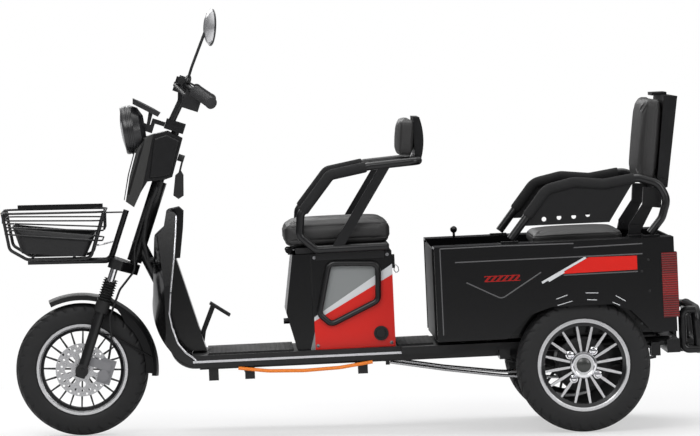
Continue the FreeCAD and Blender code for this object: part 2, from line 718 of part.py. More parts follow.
def basket():
    """World axes, because the basket's rim lies level."""
    rear, front = S.basket_rear, S.basket_front
    half = S.basket_wide / 2
    floor = S.basket_low
    rim, waist = floor + S.basket_rim, floor + S.basket_waist
    wall = 3
    outer = slab("tub_outer", [
        (rear + 62, floor),
        (front - 60, floor + 14),
        (front - 32, waist + S.basket_rise),
        (rear + 30, waist),
    ], half - 14)
    round_edges(outer, 22, lambda edge: abs(edge.BoundBox.YLength) < 1e-6 and edge.BoundBox.ZLength > 20)
    inner = slab("tub_inner", [
        (rear + 62 + wall, floor + wall),
        (front - 60 - wall, floor + 14 + wall),
        (front - 32 - wall, waist + S.basket_rise + 1),
        (rear + 30 + wall, waist + 1),
    ], half - 14 - wall)
    round_edges(inner, 19, lambda edge: abs(edge.BoundBox.YLength) < 1e-6 and edge.BoundBox.ZLength > 20)
    node("basket_tub", cut("tub_shell", outer, inner))
    wire = S.basket_wire
    rings = [loop("basket_rim_wire", rear, front, half, rim, rim, wire, 40)]
    for index in range(3):
        high, tuck = S.basket_rim.value - 21 - 21 * index, 4 + 3 * index
        fall = 6 + 10 * index
        rings.append(loop(f"basket_ring_{index}", rear + tuck, front - tuck, half - tuck,
                          floor + high - fall, floor + high, wire - 1, 40))
    side = half.value - 5
    low, top = S.basket_low.value, rim.value
    back, ahead = rear.value, front.value
    carriers = []
    for sign in (-1, 1):
        carriers.append(tube(f"basket_cradle_{sign + 2}", [
            (back + 4, sign * (side + 2), top),
            (back + 46, sign * (side - 8), low - 4),
            (back + 100, sign * (side - 30), low - 6),
            (ahead - 76, sign * (side - 30), low - 6),
            (ahead - 24, sign * (side - 8), low + 26),
            (ahead - 4, sign * (side + 2), top),
        ], 5, 22))
    for index, place_x in enumerate((back + 100, ahead - 90)):
        carriers.append(rod(f"basket_cross_{index}", 4, 2 * side - 60, place_x, 30 - side, low - 6, "y"))
    bars = []
    fall = waist + S.basket_rise
    for index in range(5):
        y = (index - 2) * (half - 40) / 2
        bars.append(rod(f"basket_bar_front_{index}", wire - 1, rim - fall - 8, front - 3, y, fall + 8))
        bars.append(rod(f"basket_bar_rear_{index}", wire - 1, rim - waist - 12, rear + 3, y, waist + 12))
    board = box("basket_board", (rear + 12, front - 40), (-half - wire, wire - half),
                (rim, rim + S.basket_board))
    stay = rod("basket_stay", wire - 1, 52, rear - 52, 0, rim - 8, "x")
    node("basket_frame", fuse("basket_wires", *rings, *carriers, *bars, board, stay))


def loop(name, rear, front, half, low, high, radius, bend):
    """A wire loop with four round corners that rises evenly from its rear end to its front end."""
    rear, front, half, low, high = [number(value) for value in (rear, front, half, low, high)]
    points = [
        ((rear + front) / 2, half, (low + high) / 2),
        (front, half, high),
        (front, -half, high),
        (rear, -half, low),
        (rear, half, low),
        ((rear + front) / 2, half, (low + high) / 2),
    ]
    return tube(name, points, radius, bend)


def steering_dress():
    """The outlines lie in fork axes, as seen from the side."""
    half, wall = S.shroud_half, S.shroud_wall
    outer = slab("shroud_outer", [
        (92, 375),
        (104, 330),
        (100, 253),
        (88, 175),
        (51, 164),
        (45, 215),
        (36, 252),
        (-12, 273),
        (-33, 289),
        (-27, 411),
        (24, 419),
        (62, 397),
    ], half)
    round_edges(outer, 16, lambda edge: edge.BoundBox.YLength < 1e-6 and edge.CenterOfMass.x > 90)
    inner = slab("shroud_inner", [
        (92 - wall, 375 - wall),
        (104 - wall, 330),
        (100 - wall, 253),
        (84, 160),
        (54, 150),
        (40, 205),
        (30, 240),
        (-12, 262),
        (-33 + wall, 280),
        (-27 + wall, 411 - 2 * wall),
        (24, 419 - 2 * wall),
        (62, 397 - 2 * wall),
    ], half - wall)
    panel_outline = [
        (56, 385),
        (24, 408),
        (-20, 401),
        (-26, 296),
        (-10, 283),
        (34, 264),
        (54, 368),
    ]
    panels = slab("shroud_panels", panel_outline, half + S.shroud_panel)
    round_edges(panels, S.shroud_panel * 0.7, lambda edge: abs(edge.CenterOfMass.y) > half.value + 5)
    column = rod("shroud_column", S.stem_radius + 1, 300, 0, 0, 300)
    room = lamp_form("lamp_room", S.lamp_gap)
    node("shroud", on_fork(cut("shroud_shell", fuse("shroud_form", outer, panels), inner, column, room)))

    lamp = lamp_form("lamp", 0)
    arm = box("lamp_arm", (68, 100), (-14, 14), (397, 420))
    upright = box("lamp_upright", (68, 80), (-8, 8), (410, 442))
    link = box("lamp_link", (38.3, 74), (-8, 8), (428, 442))
    node("headlight", on_fork(fuse("headlight_body", lamp, arm, upright, link)))

    plate = slab("display_plate", [
        (152, 466),
        (157, 482),
        (62, 466),
        (66, 452),
    ], 52)
    strut = slab("display_strut", [(98, 460), (84, 458), (82, 420.3), (92, 420.3)], 16)
    node("display", on_fork(fuse("display_body", plate, strut)))


def lamp_form(name, grown):
    """The headlight's round shell, domed glass in front, larger all over by a clearance."""
    radius = S.lamp_radius + grown
    lamp = turned(name + "_shell", [
        (0, S.lamp_dome + grown),
        (radius - 4, grown, radius * 0.55, S.lamp_dome * 0.72 + grown),
        (radius, -5),
        (radius, -28),
        (radius * 0.86, -S.lamp_deep * 0.78 - grown),
        (radius * 0.5, -S.lamp_deep - grown),
        (0, -S.lamp_deep - grown),
    ])
    place(lamp, axis=Z_AXIS, angle=-90)
    return place(group(name, lamp), S.lamp_front, 0, S.lamp_rise, Y_AXIS, S.lamp_tilt)


def handlebar():
    clamp = S.bar_rise
    ahead = S.bar_ahead
    side = [
        (ahead.value, 0, clamp.value),
        (ahead.value, 110, clamp.value),
        (ahead.value - 14, 175, clamp.value + 6),
        (-12, S.grip_in.value, S.grip_rise.value + 20),
        (S.grip_back.value + 2, S.grip_out.value - 4, S.grip_rise.value),
    ]
    other_side = [(x, -y, z) for x, y, z in reversed(side[1:])]
    bar = tube("bar", other_side + side[1:], S.bar_radius, 40)
    risers = [tube(f"bar_riser_{sign + 2}", [
        (24, sign * 30, 430),
        (12, sign * 30, 520),
        (ahead.value - 4, sign * 30, clamp.value + 1),
    ], 11, 30) for sign in (-1, 1)]
    clamps = []
    for sign in (-1, 1):
        y_range = (18, 42) if sign > 0 else (-42, -18)
        clamps.append(box(f"bar_clamp_{sign + 2}", (ahead - 22, ahead + 18), y_range, (clamp - 24, clamp + 22)))
    yoke = box("bar_yoke", (-24, 38), (-46, 46), (424, 455))
    whole = fuse("bar_body", bar, yoke, *risers, *clamps)
    node("handlebar", on_fork(cut("bar_with_stem_hole", whole,
                                  rod("bar_stem_hole", S.stem_radius, 230, 0, 0, 240))))
    start = Vector(-12, S.grip_in.value, S.grip_rise.value + 20)
    end = Vector(S.grip_back.value + 2, S.grip_out.value - 4, S.grip_rise.value)
    along = (end - start).normalize()
    turn = Rotation(Z_AXIS, along)
    grip = DOC.addObject("Part::Cylinder", "grip_sleeve")
    bind(grip, Radius=S.grip_radius, Height=118)
    grip.Placement = Placement(end - along * 116, turn)
    core = DOC.addObject("Part::Cylinder", "grip_core")
    bind(core, Radius=S.bar_radius + S.bearing_gap, Height=116.5)
    core.Placement = Placement(end - along * 116.4, turn)
    node("grips", on_fork(both_sides("grip_pair", cut("grip", grip, core))))

    pod = box("switch_pod", (2, 40), (150, 186), (clamp - 22, clamp + 26))
    low_pod = box("switch_pod_low", (-46, 8), (196, 230), (506, clamp - 4))
    lever = tube("brake_lever", [
        (ahead.value - 6, 172, clamp.value + 2),
        (ahead.value + 20, 210, clamp.value - 2),
        (6, 345, S.grip_rise.value - 2),
    ], 5, 40)
    bar_way = tube("pod_bar_way", side, S.bar_radius + S.bearing_gap, 40)
    node("controls", on_fork(both_sides("control_pair", cut("control", fuse("control_body", pod, low_pod, lever),
                                                           bar_way))))
    stalk = tube("mirror_stalk", [
        (12, 200, clamp.value + 24),
        (14, 225, clamp.value + 70),
        (7, 300, S.mirror_rise.value - 38),
    ], 5, 50)
    foot = rod("mirror_foot", 9, 17, 12, 200, clamp + 15.8)
    glass = turned("mirror_shell", [
        (0, -7),
        (S.mirror_high / 2 - 6, -7),
        (S.mirror_high / 2, 0),
        (S.mirror_high / 2 - 8, 10),
        (0, 14),
    ])
    place(glass, 6, S.mirror_out, S.mirror_rise, Z_AXIS, -90 + 12)
    node("mirrors", on_fork(both_sides("mirror_pair", fuse("mirror", stalk, foot, glass))))
    fob = slab("key_fob", [(-52, 316), (-64, 305), (-84, 244), (-72, 229), (-53, 235), (-40, 296)], 6, 34)
    ring = tube("key_ring", [(-47, 34, 352), (-50, 34, 308)], 3)
    key = rod("key_barrel", 11, 20.2, -51, 34, 352, "x")
    node("ignition_key", on_fork(fuse("key_body", key, ring, fob)))


# Frame, leg shield and deck

def main_frame():
    low_x, low_z = frame_point(*fork_to_world(0, S.head_low.value + 20))
    rail_top = S.deck_top - S.deck_thick
    rail_low = rail_top - S.rail_high
    rails = []
    for sign in (-1, 1):
        y = sign * S.rail_out
        rails.append(box(f"rail_{sign + 2}", (S.rear_deck_end + 20, S.deck_front - 20),
                         (y - S.rail_wide / 2, y + S.rail_wide / 2), (rail_low, rail_top)))
    crosses = []
    for index, x in enumerate((S.deck_front - 50, 130, S.box_rear + 4, S.rear_deck_end + 22)):
        half = S.rear_rail_out + 20 if index == 3 else S.rail_out
        crosses.append(box(f"cross_{index}", (x, x + S.rail_wide), (-half, half),
                           (rail_low + 8, rail_top - 4)))
    down = tube("down_tube", [
        (low_x - 6, 0, low_z + 50),
        (576, 0, 470),
        (532, 0, 228),
        (464, 0, 228),
    ], S.down_tube, 60)
    bore = rod("head_bore", S.stem_radius + S.bearing_gap, 400, 0, 0, -60)
    head = rod("head_tube", S.head_radius, S.head_high - S.head_low, 0, 0, S.head_low)
    bore = on_fork(bore)
    head = on_fork(head)
    stubs = []
    for index, x in enumerate((428, 317, -30)):
        for sign in (-1, 1):
            near, far = S.rail_out, 180
            low_y, high_y = (near, far) if sign > 0 else (-far, -near)
            stubs.append(box(f"stub_arm_{index}_{sign + 2}", (x - 15, x + 15), (low_y, high_y),
                             (rail_low, rail_low + 20)))
            low_y, high_y = (150, far) if sign > 0 else (-far, -150)
            stubs.append(box(f"stub_{index}_{sign + 2}", (x - 15, x + 15), (low_y, high_y),
                             (183, rail_low + 20)))
    for sign in (-1, 1):
        stubs.append(box(f"rod_lug_{sign + 2}", (-116, -104), (sign * 80 - 8, sign * 80 + 8),
                         (200, rail_low + 10)))
        near, far = S.rail_out - 10, S.spring_out + S.leaf_wide / 2 + 2
        y_range = (near, far) if sign > 0 else (-far, -near)
        stubs.append(box(f"spring_hanger_{sign + 2}", (-482, -450), y_range, (209, rail_low + 26)))
    frame = on_frame(fuse("frame_members", *rails, *crosses, *stubs, down))
    node("main_frame", cut("frame_with_head", fuse("frame_body", frame, head), bore))


def rear_frame():
    tubes = []
    level = S.deck_top - S.deck_thick - S.rear_rail_radius - S.bearing_gap
    start = S.rear_deck_end + 22
    for sign in (-1, 1):
        tubes.append(rod(f"rear_tube_{sign + 2}", S.rear_rail_radius, start - S.cross_x, S.cross_x,
                         sign * S.rear_rail_out, level, "x"))
        for index, x in enumerate((-680, -860)):
            y = sign * S.rear_rail_out
            tubes.append(box(f"floor_rest_{sign + 2}_{index}", (x - 20, x + 20), (y - 10, y + 10),
                             (level, S.cargo_floor)))
        near, far = S.rear_rail_out - 5, S.spring_out + S.leaf_wide / 2 + 2
        y_range = (near, far) if sign > 0 else (-far, -near)
        tubes.append(box(f"spring_shackle_{sign + 2}", (-944, -916), y_range, (197.6, level)))
    half = S.cross_half
    side = S.cross_square / 2
    tubes.append(box("rear_cross", (S.cross_x - side, S.cross_x + side), (-half, half),
                     (S.cross_level - side, S.cross_level + side)))
    node("rear_frame", on_frame(fuse("rear_frame_body", *tubes)))


def shield_rear(shift):
    """The leg shield's rear contour from the seam at the console down to the deck."""
    return [
        (531 + shift, 573),
        (547 + shift, 460),
        (553 + shift, 397, 553.5 + shift, 429),
        (531 + shift, 303, 546 + shift, 352),
        (506 + shift, S.deck_top + 7),
    ]


def shield_form(name, skin):
    """The shield's outside, or its hollow when skin is the wall's thickness."""
    top = S.shield_top - skin
    bulk = slab(name + "_side", [
        (519 + skin, 690, 536, top),
        *shield_rear(skin),
        (S.deck_front + 1 + 4 * skin, S.deck_top + skin),
        (S.deck_front + 1 + 4 * skin, 232 + 3 * skin),
        (512, 240 + 2 * skin),
        (541 - skin * 0.6, 258 + skin * 0.8),
        (571 - skin, 298 + skin * 0.6),
        (604 - skin, 446, 603 - skin, 368),
        (592 - skin, 626 - skin),
        (563 - skin, 650 - skin),
        (553 - skin, top - 8),
    ], S.shield_half - skin)
    view = slab(name + "_view", [
        (skin - S.shield_half, 200),
        (S.shield_half - skin, 200),
        (S.shield_half - skin, 480),
        (S.shield_top_half - skin, 720),
        (skin - S.shield_top_half, 720),
        (skin - S.shield_half, 480),
    ], 400, 500, "YZ_Plane")
    nose = slab(name + "_nose", [
        (300, skin - S.shield_half),
        (568 - skin, skin - S.shield_half),
        (568 - skin, S.shield_half - skin, S.shield_front - skin, 0),
        (300, S.shield_half - skin),
    ], 300, 450, "XY_Plane")
    return common(name, bulk, view, nose)


def leg_shield():
    """An outer cover and an inner panel joined along their edges, with room for the frame between."""
    slot = box("shield_slot", (570, 640), (-32, 32), (430, 670))
    foot_slot = box("shield_foot_slot", (480, 576), (-24, 24), (S.shield_bottom - 2, 452))
    shell = cut("shield_shell", shield_form("shield_outer", 0), shield_form("shield_inner", S.shield_wall),
                slot, foot_slot)
    console = slab("shield_console", [
        (540, S.shield_top + 3),
        (512, S.shield_top + 8),
        (498, S.shield_top - 6),
        (502, 650),
        (515, S.tunnel_top + 1),
        (535, S.tunnel_top + 1),
        (522, 690),
    ], S.console_half)
    node("leg_shield", on_frame(fuse("shield_body", shell, console)))
    wall = S.tunnel_wall
    level = S.deck_top + S.mat_thick + 1
    gap = 0.3
    cover = slab("tunnel_outer", [
        (528, S.tunnel_top),
        (532.4, S.tunnel_top),
        *shield_rear(-gap)[1:-1],
        (506 - gap, level),
        (S.tunnel_rear, level),
    ], S.tunnel_half)
    hollow = slab("tunnel_inner", [
        (545, S.tunnel_top - 14),
        (S.tunnel_rear + 6, level - 1),
        (620, level - 1),
        (620, S.tunnel_top - 14),
    ], S.tunnel_half - wall)
    node("centre_tunnel", on_frame(cut("tunnel_shell", cover, hollow)))


def deck():
    half = S.deck_half
    pan = box("deck_pan", (S.deck_rear, S.deck_front), (-half, half), (S.deck_low, S.deck_top))
    side = S.deck_side
    under = box("deck_under", (S.deck_rear - 1, S.deck_front + 1), (side - half, half - side),
                (S.deck_low - 1, S.deck_top - S.deck_thick))
    rear_half = S.rear_deck_half
    rear_pan = box("rear_deck_pan", (S.rear_deck_end, S.deck_rear), (-rear_half, rear_half),
                   (S.deck_top - 22, S.deck_top))
    rear_under = box("rear_deck_under", (S.rear_deck_end - 1, S.deck_rear),
                     (side - rear_half, rear_half - side), (S.deck_top - 23, S.deck_top - S.deck_thick))
    node("deck_floor", on_frame(fuse("deck_body", cut("deck_shell", pan, under),
                                     cut("rear_deck_shell", rear_pan, rear_under))))
    mats = group("mats", box("front_mat", (S.box_front - 18, S.tunnel_rear - 4), (-S.mat_half, S.mat_half),
                             (S.deck_top, S.deck_top + S.mat_thick)),
                 box("rear_mat", (S.cargo_front + 6, S.box_rear - 6), (-S.mat_half, S.mat_half),
                     (S.deck_top, S.deck_top + S.mat_thick)))
    node("deck_mats", on_frame(mats))
    strip = box("trim_strip", (S.deck_rear, S.deck_front), (half, half + 3),
                (S.trim_level, S.trim_level + S.trim_high))
    node("deck_trim", on_frame(both_sides("trim_pair", strip)))
    pad = slab("pedal_pad", [(427, 410), (432, 403), (372, 362), (367, 369)], 35, -100)
    arm = slab("pedal_arm", [(412, 398), (446, 320), (456, 262.3), (470, 262.3), (461, 322), (426, 404)],
               14, -100)
    node("brake_pedal", on_frame(fuse("pedal_body", pad, arm)))
    rods = [tube(f"brake_rod_{sign + 2}", [
        (-117, sign * 80, 208),
        (-290, sign * 80, 176),
        (-470, sign * 95, 150),
        (-639, sign * 150, 142),
    ], 5, 200) for sign in (-1, 1)]
    node("brake_rods", on_frame(group("rod_pair", *rods)))
    node("power_cable", on_frame(tube("cable_run", [
        (352, 196, 219),
        (260, 196, 206),
        (150, 196, 202),
        (40, 196, 206),
        (-60, 196, 219),
    ], 5.5, 180)))
    # beside the steering axis, where the turning fork leaves it room
    beside = [(-10, 55, 74), (3, 51, 140), (4, 50, 195), (0, 50, 244)]
    run = [(597.6, 57, 556), (613, 57, 556)]
    for x, y, z in beside:
        along, up = frame_point(*fork_to_world(x, z))
        run.append((along, y, up))
    loom = tube("loom_run", run, 7, 12)
    node("cable_loom", on_frame(loom))


# Seat box and driver's seat

def seat_box():
    wall = S.box_wall
    outline = [
        (S.box_front - 26, S.box_top),
        (S.box_front, 379),
        (S.box_front - 30, S.deck_top),
        (S.box_rear, S.deck_top),
        (S.box_rear, S.box_top),
    ]
    outer = slab("seat_box_outer", outline, S.box_half)
    inner = slab("seat_box_inner", [
        (S.box_front - 26 - wall, S.box_top + 1),
        (S.box_front - wall, 379),
        (S.box_front - 30 - wall, S.deck_top + wall),
        (S.box_rear + wall, S.deck_top + wall),
        (S.box_rear + wall, S.box_top + 1),
    ], S.box_half - wall)
    port = rod("port_ring", 22, 3, S.box_rear + 43, S.box_half, 304, "y")
    knob = rod("front_knob", 9, 20, S.box_front - 13, 0, 345, "x")
    hasp = box("rear_hasp", (S.box_rear - 14, S.box_rear), (-14, 14), (494, 536))
    pin_x, pin_z = S.cushion_front - 14, S.box_top + 9
    pin = rod("lid_pin", 4, 130, pin_x, -65, pin_z, "y")
    ear = box("lid_ear", (S.box_front - 30, pin_x), (-30, 30), (pin_z - 14, pin_z))
    node("seat_box", on_frame(fuse("seat_box_body", cut("seat_box_shell", outer, inner), port, pin, ear,
                                   knob, hasp)))
    battery = box("battery_block", (S.box_rear + wall + 4, S.box_front - 50),
                  (12 - S.box_half, S.box_half - 12), (S.deck_top + wall, S.deck_top + 230))
    node("battery_pack", on_frame(battery))
    side, top = S.box_half + S.loop_radius + S.bearing_gap, S.box_top
    ring = tube("side_loop", [
        (-15, side, top - 33),
        (-91, side, top - 37),
        (-86, side, top - 151),
        (61, side, top - 218),
        (96, side, top - 184),
        (60, side, top - 30),
        (-15, side, top - 33),
    ], S.loop_radius, 22)
    node("seat_side_loops", on_frame(both_sides("loop_pair", ring)))


def driver_seat():
    low, thick = S.cushion_low, S.cushion_thick
    pad = slab("cushion_slab", [
        (S.cushion_front, low),
        (S.cushion_front, low + thick),
        (S.cushion_front - 330, low + thick),
        (S.cushion_front - 330, low),
    ], S.cushion_half)
    round_edges(pad, 26, lambda edge: edge.CenterOfMass.z > number(low) + 4)
    node("driver_cushion", on_frame(pad))
    base = box("seat_board", (S.box_rear + 6, S.box_front - 38), (8 - S.box_half, S.box_half - 8),
               (S.box_top + 2, S.cushion_low - 0.3))
    pin_x, pin_z = S.cushion_front - 14, S.box_top + 9
    eyes = []
    for sign in (-1, 1):
        y = 48 * sign - 12
        eyes.append(rod(f"lid_eye_{sign + 2}", 8, 24, pin_x, y, pin_z, "y"))
        eyes.append(box(f"lid_arm_{sign + 2}", (S.box_front - 40, pin_x), (y, y + 24),
                        (pin_z + 2, pin_z + 8)))
    eye_bore = rod("lid_bore", 4 + S.bearing_gap, 200, pin_x, -100, pin_z, "y")
    node("seat_base", on_frame(cut("seat_board_body", fuse("seat_board_arms", base, *eyes), eye_bore)))
    y, z = S.arm_out, S.box_top
    low_end = (-120, y, z + 15)
    rise = [
        (98, y, z + 14),
        (146, y, z + 58),
        (140, y, z + 124),
        (45, y, z + 241),
        (-75, y, z + 262),
        (-228, y, z + 272),
    ]
    side = tube("arm_tube", [low_end, *rise, (-228, 0, z + 272)], S.arm_radius, 24)
    strut = slab("arm_strut", [(18, z + 12), (54, z + 12), (-107, z + 259), (-143, z + 262)], 7, y)
    shelf = box("arm_shelf", (-110, 100), (S.box_half + 0.3, y), (z + 4, z + 10))
    flange = box("arm_flange", (-110, 100), (S.box_half + 0.3, S.box_half + 4), (z - 20, z + 10))
    lug = fuse("arm_lug", shelf, flange)
    plate = slab("rest_plate", [
        (-221, z + 268),
        (-221, z + 405),
        (-240, z + 404),
        (-238, z + 268, -250, z + 350),
    ], 110)
    arm = fuse("arm_body", side, strut, lug)
    node("driver_armrests", on_frame(fuse("arm_frame", arm, mirrored("arm_twin", arm), plate)))
    sleeve = tube("pad_run", [(132.4, y, z + 133.4), (45, y, z + 241), (-66.6, y, z + 260.5)], S.pad_radius, 24)
    core = tube("pad_core", rise, S.arm_radius + 0.3, 24)
    node("driver_arm_pads", on_frame(both_sides("pad_pair", cut("arm_pad", sleeve, core))))
    rest = slab("rest_pad", [
        (-172, z + 282),
        (-170, z + 349),
        (-182, z + 399),
        (-220.7, z + 399),
        (-220.7, z + 286),
    ], 140)
    round_edges(rest, 14, lambda edge: edge.CenterOfMass.x > -190)
    node("driver_backrest", on_frame(rest))


# Passenger box

def cargo_box():
    sheet = S.cargo_sheet
    outer, inner = S.cargo_half, S.cargo_inner
    axle_x, axle_z = frame_point(S.rear_axle_x.value, S.tyre_radius.value)
    arch = S.arch_level
    for side, sign in (("left", 1), ("right", -1)):
        panel = slab(f"side_panel_{side}", [
            (S.cargo_front, S.cargo_low),
            (S.cargo_front, S.cargo_top),
            (S.cargo_rear, S.cargo_top),
            (S.cargo_rear, S.cargo_low),
            (axle_x - 214, S.cargo_low),
            (axle_x - 150, arch - 22),
            (axle_x - 92, arch),
            (axle_x + 92, arch),
            (axle_x + 160, arch - 22),
            (axle_x + 232, S.cargo_low),
        ], sheet / 2, sign * (outer - sheet / 2))
        low_y, high_y = (inner, outer - sheet) if sign > 0 else (sheet - outer, -inner)
        top = box(f"side_top_{side}", (S.cargo_rear, S.cargo_front), (low_y, high_y),
                  (S.cargo_top - sheet, S.cargo_top))
        wall_y = (inner - sheet, inner) if sign > 0 else (-inner, sheet - inner)
        wall = box(f"side_wall_{side}", (S.cargo_rear + 4, S.cargo_front - 4), wall_y,
                   (S.cargo_floor + sheet, S.cargo_top))
        parts = [panel, top, wall]
        if side == "right":
            parts.append(rod("latch_stem", 4, 20, -349, -280, S.cargo_top - 1))
            ball = DOC.addObject("Part::Sphere", "latch_ball")
            bind(ball, Radius=11)
            parts.append(place(ball, -349, -280, S.cargo_top + 24))
        node(f"cargo_side_{side}", on_frame(fuse(f"cargo_side_body_{side}", *parts)))
    floor = box("cargo_floor_plate", (S.cargo_rear + 4, S.cargo_front - 4), (-inner, inner),
                (S.cargo_floor, S.cargo_floor + sheet))
    node("cargo_floor", on_frame(floor))
    gap = 0.3
    front = box("cargo_front_plate", (S.cargo_front - 4, S.cargo_front + 2), (gap - inner, inner - gap),
                (S.cargo_floor + sheet + gap, S.cargo_top - 10))
    node("cargo_front_wall", on_frame(cut("cargo_front_clear", front, box(
        "cargo_front_tool", (S.cargo_front - 5, S.cargo_front + 3), (inner - sheet - gap, inner + 5),
        (200, 700)), box("cargo_front_tool_2", (S.cargo_front - 5, S.cargo_front + 3),
                         (-inner - 5, sheet + gap - inner), (200, 700)))))
    rear_y = inner - sheet - gap
    rear = box("cargo_rear_plate", (S.cargo_rear + 4, S.cargo_rear + 10), (-rear_y, rear_y),
               (S.cargo_floor + sheet + gap, S.cargo_top))
    node("cargo_rear_wall", on_frame(rear))
    bench = box("bench_outer", (S.bench_front - 300, S.bench_front), (gap - inner + sheet, inner - sheet - gap),
                (S.cargo_floor + sheet + gap, S.bench_top))
    hollow = box("bench_inner", (S.bench_front - 296, S.bench_front - 4), (sheet + 4 - inner, inner - sheet - 4),
                 (S.cargo_floor, S.bench_top - 4))
    node("bench_box", on_frame(cut("bench_shell", bench, hollow)))
    seat = slab("rear_seat_slab", [
        (S.bench_front - 4, S.bench_top + 0.3),
        (S.bench_front - 4, S.bench_top + S.rear_seat_high),
        (S.bench_front - 290, S.bench_top + S.rear_seat_high + 6),
        (S.bench_front - 290, S.bench_top + 0.3),
    ], S.rear_seat_half)
    round_edges(seat, 14, lambda edge: edge.CenterOfMass.z > number(S.bench_top) + 10)
    node("rear_cushion", on_frame(seat))


def rear_arms():
    """Their places are given from the bench's front edge and the box's upper rim."""
    y = S.rear_arm_out.value
    x, z = S.bench_front, S.cargo_top

    def at(*places):
        return [(x + along, y, z + up) for along, up in places]

    run = at((66, 12), (-50, 158), (-135, 176), (-225, 166), (-330, 181), (-392, 160), (-416, 112),
             (-398, 56), (-360, 11))
    side = tube("rear_arm_tube", run, S.arm_radius, 50)
    feet = [box(f"rear_arm_foot_{index}", (x + low, x + high), (y - 17, y + 17), (z + 0.3, z + 5))
            for index, (low, high) in enumerate(((44, 96), (-388, -334)))]
    outline = [(38, 50), (-237, 50), (-316, 170), (-225, 158), (-135, 168), (-56, 150)]
    sheet = slab("arm_plate_sheet", [(x + along, z + up) for along, up in outline], S.plate_thick / 2, y)
    holes = []
    for index, (along, up, length, wide) in enumerate(((-73, 99, 35, 7), (-115, 101, 39, 7),
                                                       (-157, 102, 42, 7), (-211, 68, 93, 12))):
        slot = box(f"plate_slot_{index}", (0, length), (y - 6, y + 6), (-wide / 2, wide / 2))
        slot.Placement = Placement(Vector(x.value + along, 0, z.value + up), Rotation(Y_AXIS, -125))
        holes.append(slot)
    for index, (along, up) in enumerate(((-38, 68), (-84, 71), (-129, 72), (-172, 76))):
        holes.append(rod(f"plate_hole_{index}", 7, 12, x + along, y - 6, z + up, "y"))
    arm = fuse("rear_arm_body", side, *feet, cut("arm_plate", sheet, *holes))
    node("rear_armrests", on_frame(both_sides("rear_arm_pair", arm)))
    pad = tube("rear_pad_run", at((14, 77.4), (-50, 158), (-135, 176), (-225, 166), (-318, 179.3)),
               S.pad_radius, 50)
    core = tube("rear_pad_core", run[:6], S.arm_radius + 0.3, 50)
    room = [(46, 44), (-240, 44), (-322, 172), (-225, 160), (-135, 170), (-54, 152)]
    slot = slab("pad_slot", [(x + along, z + up) for along, up in room], 2, y)
    node("rear_arm_pads", on_frame(both_sides("rear_pad_pair", cut("rear_arm_pad", pad, core, slot))))


def backrest():
    """Its places are given from its hinge."""
    x, z = S.pivot_x, S.pivot_level
    cushion = slab("back_cushion_slab", [
        (x - 17, z + 144),
        (x - 49, z + 397),
        (x - 110, z + 404),
        (x - 78, z + 140),
    ], S.back_half)
    round_edges(cushion, 20, lambda edge: edge.CenterOfMass.x > x.value - 70)
    node("backrest_cushion", on_frame(cushion))
    shell = slab("back_shell_slab", [
        (x - 78.4, z + 140),
        (x - 110.4, z + 406),
        (x - 152, z + 402),
        (x - 110, z + 124),
        (x - 78, z + 112),
    ], S.back_half - 10)
    posts = []
    for sign in (-1, 1):
        y = sign * (S.pivot_out - 10)
        posts.append(slab(f"back_post_{sign + 2}", [
            (x + 16, z - 14),
            (x + 16, z + 14),
            (x - 82, z + 152),
            (x - 105, z + 147),
            (x - 16, z - 14),
        ], 4, y))
        posts.append(slab(f"recliner_{sign + 2}", [
            (x - 28, z + 70),
            (x - 33, z + 128),
            (x - 92, z + 122),
            (x - 84, z + 62),
        ], 13, y))
    posts.append(box("back_top_plate", (x - 129, x - 83), (-70, 70), (z + 404.4, z + 414)))
    bar = rod("back_bar", 8, 2 * S.pivot_out - 20, x - 92, 10 - S.pivot_out, z + 142, "y")
    hinge = []
    for sign in (-1, 1):
        y = sign * (S.pivot_out - 10)
        hinge.append(rod(f"back_hole_{sign + 2}", 6.3, 30, x, y - 15, z, "y"))
    node("backrest_shell", on_frame(cut("backrest_frame", fuse("backrest_body", shell, bar, *posts),
                                        *hinge)))
    bracket = slab("pivot_plate", [
        (x + 22, S.cargo_top + 0.3),
        (x + 14, z + 14),
        (x - 14, z + 14),
        (x - 22, S.cargo_top + 0.3),
    ], 4, S.pivot_out + 2)
    foot = box("pivot_foot", (x - 24, x + 24), (S.pivot_out - 2, S.cargo_inner + 20),
               (S.cargo_top + 0.3, S.cargo_top + 5))
    pin = rod("pivot_pin", 6, 26, x, S.pivot_out - 20, z, "y")
    node("backrest_brackets", on_frame(both_sides("bracket_pair", fuse("bracket_body", bracket, foot,
                                                                      pin))))


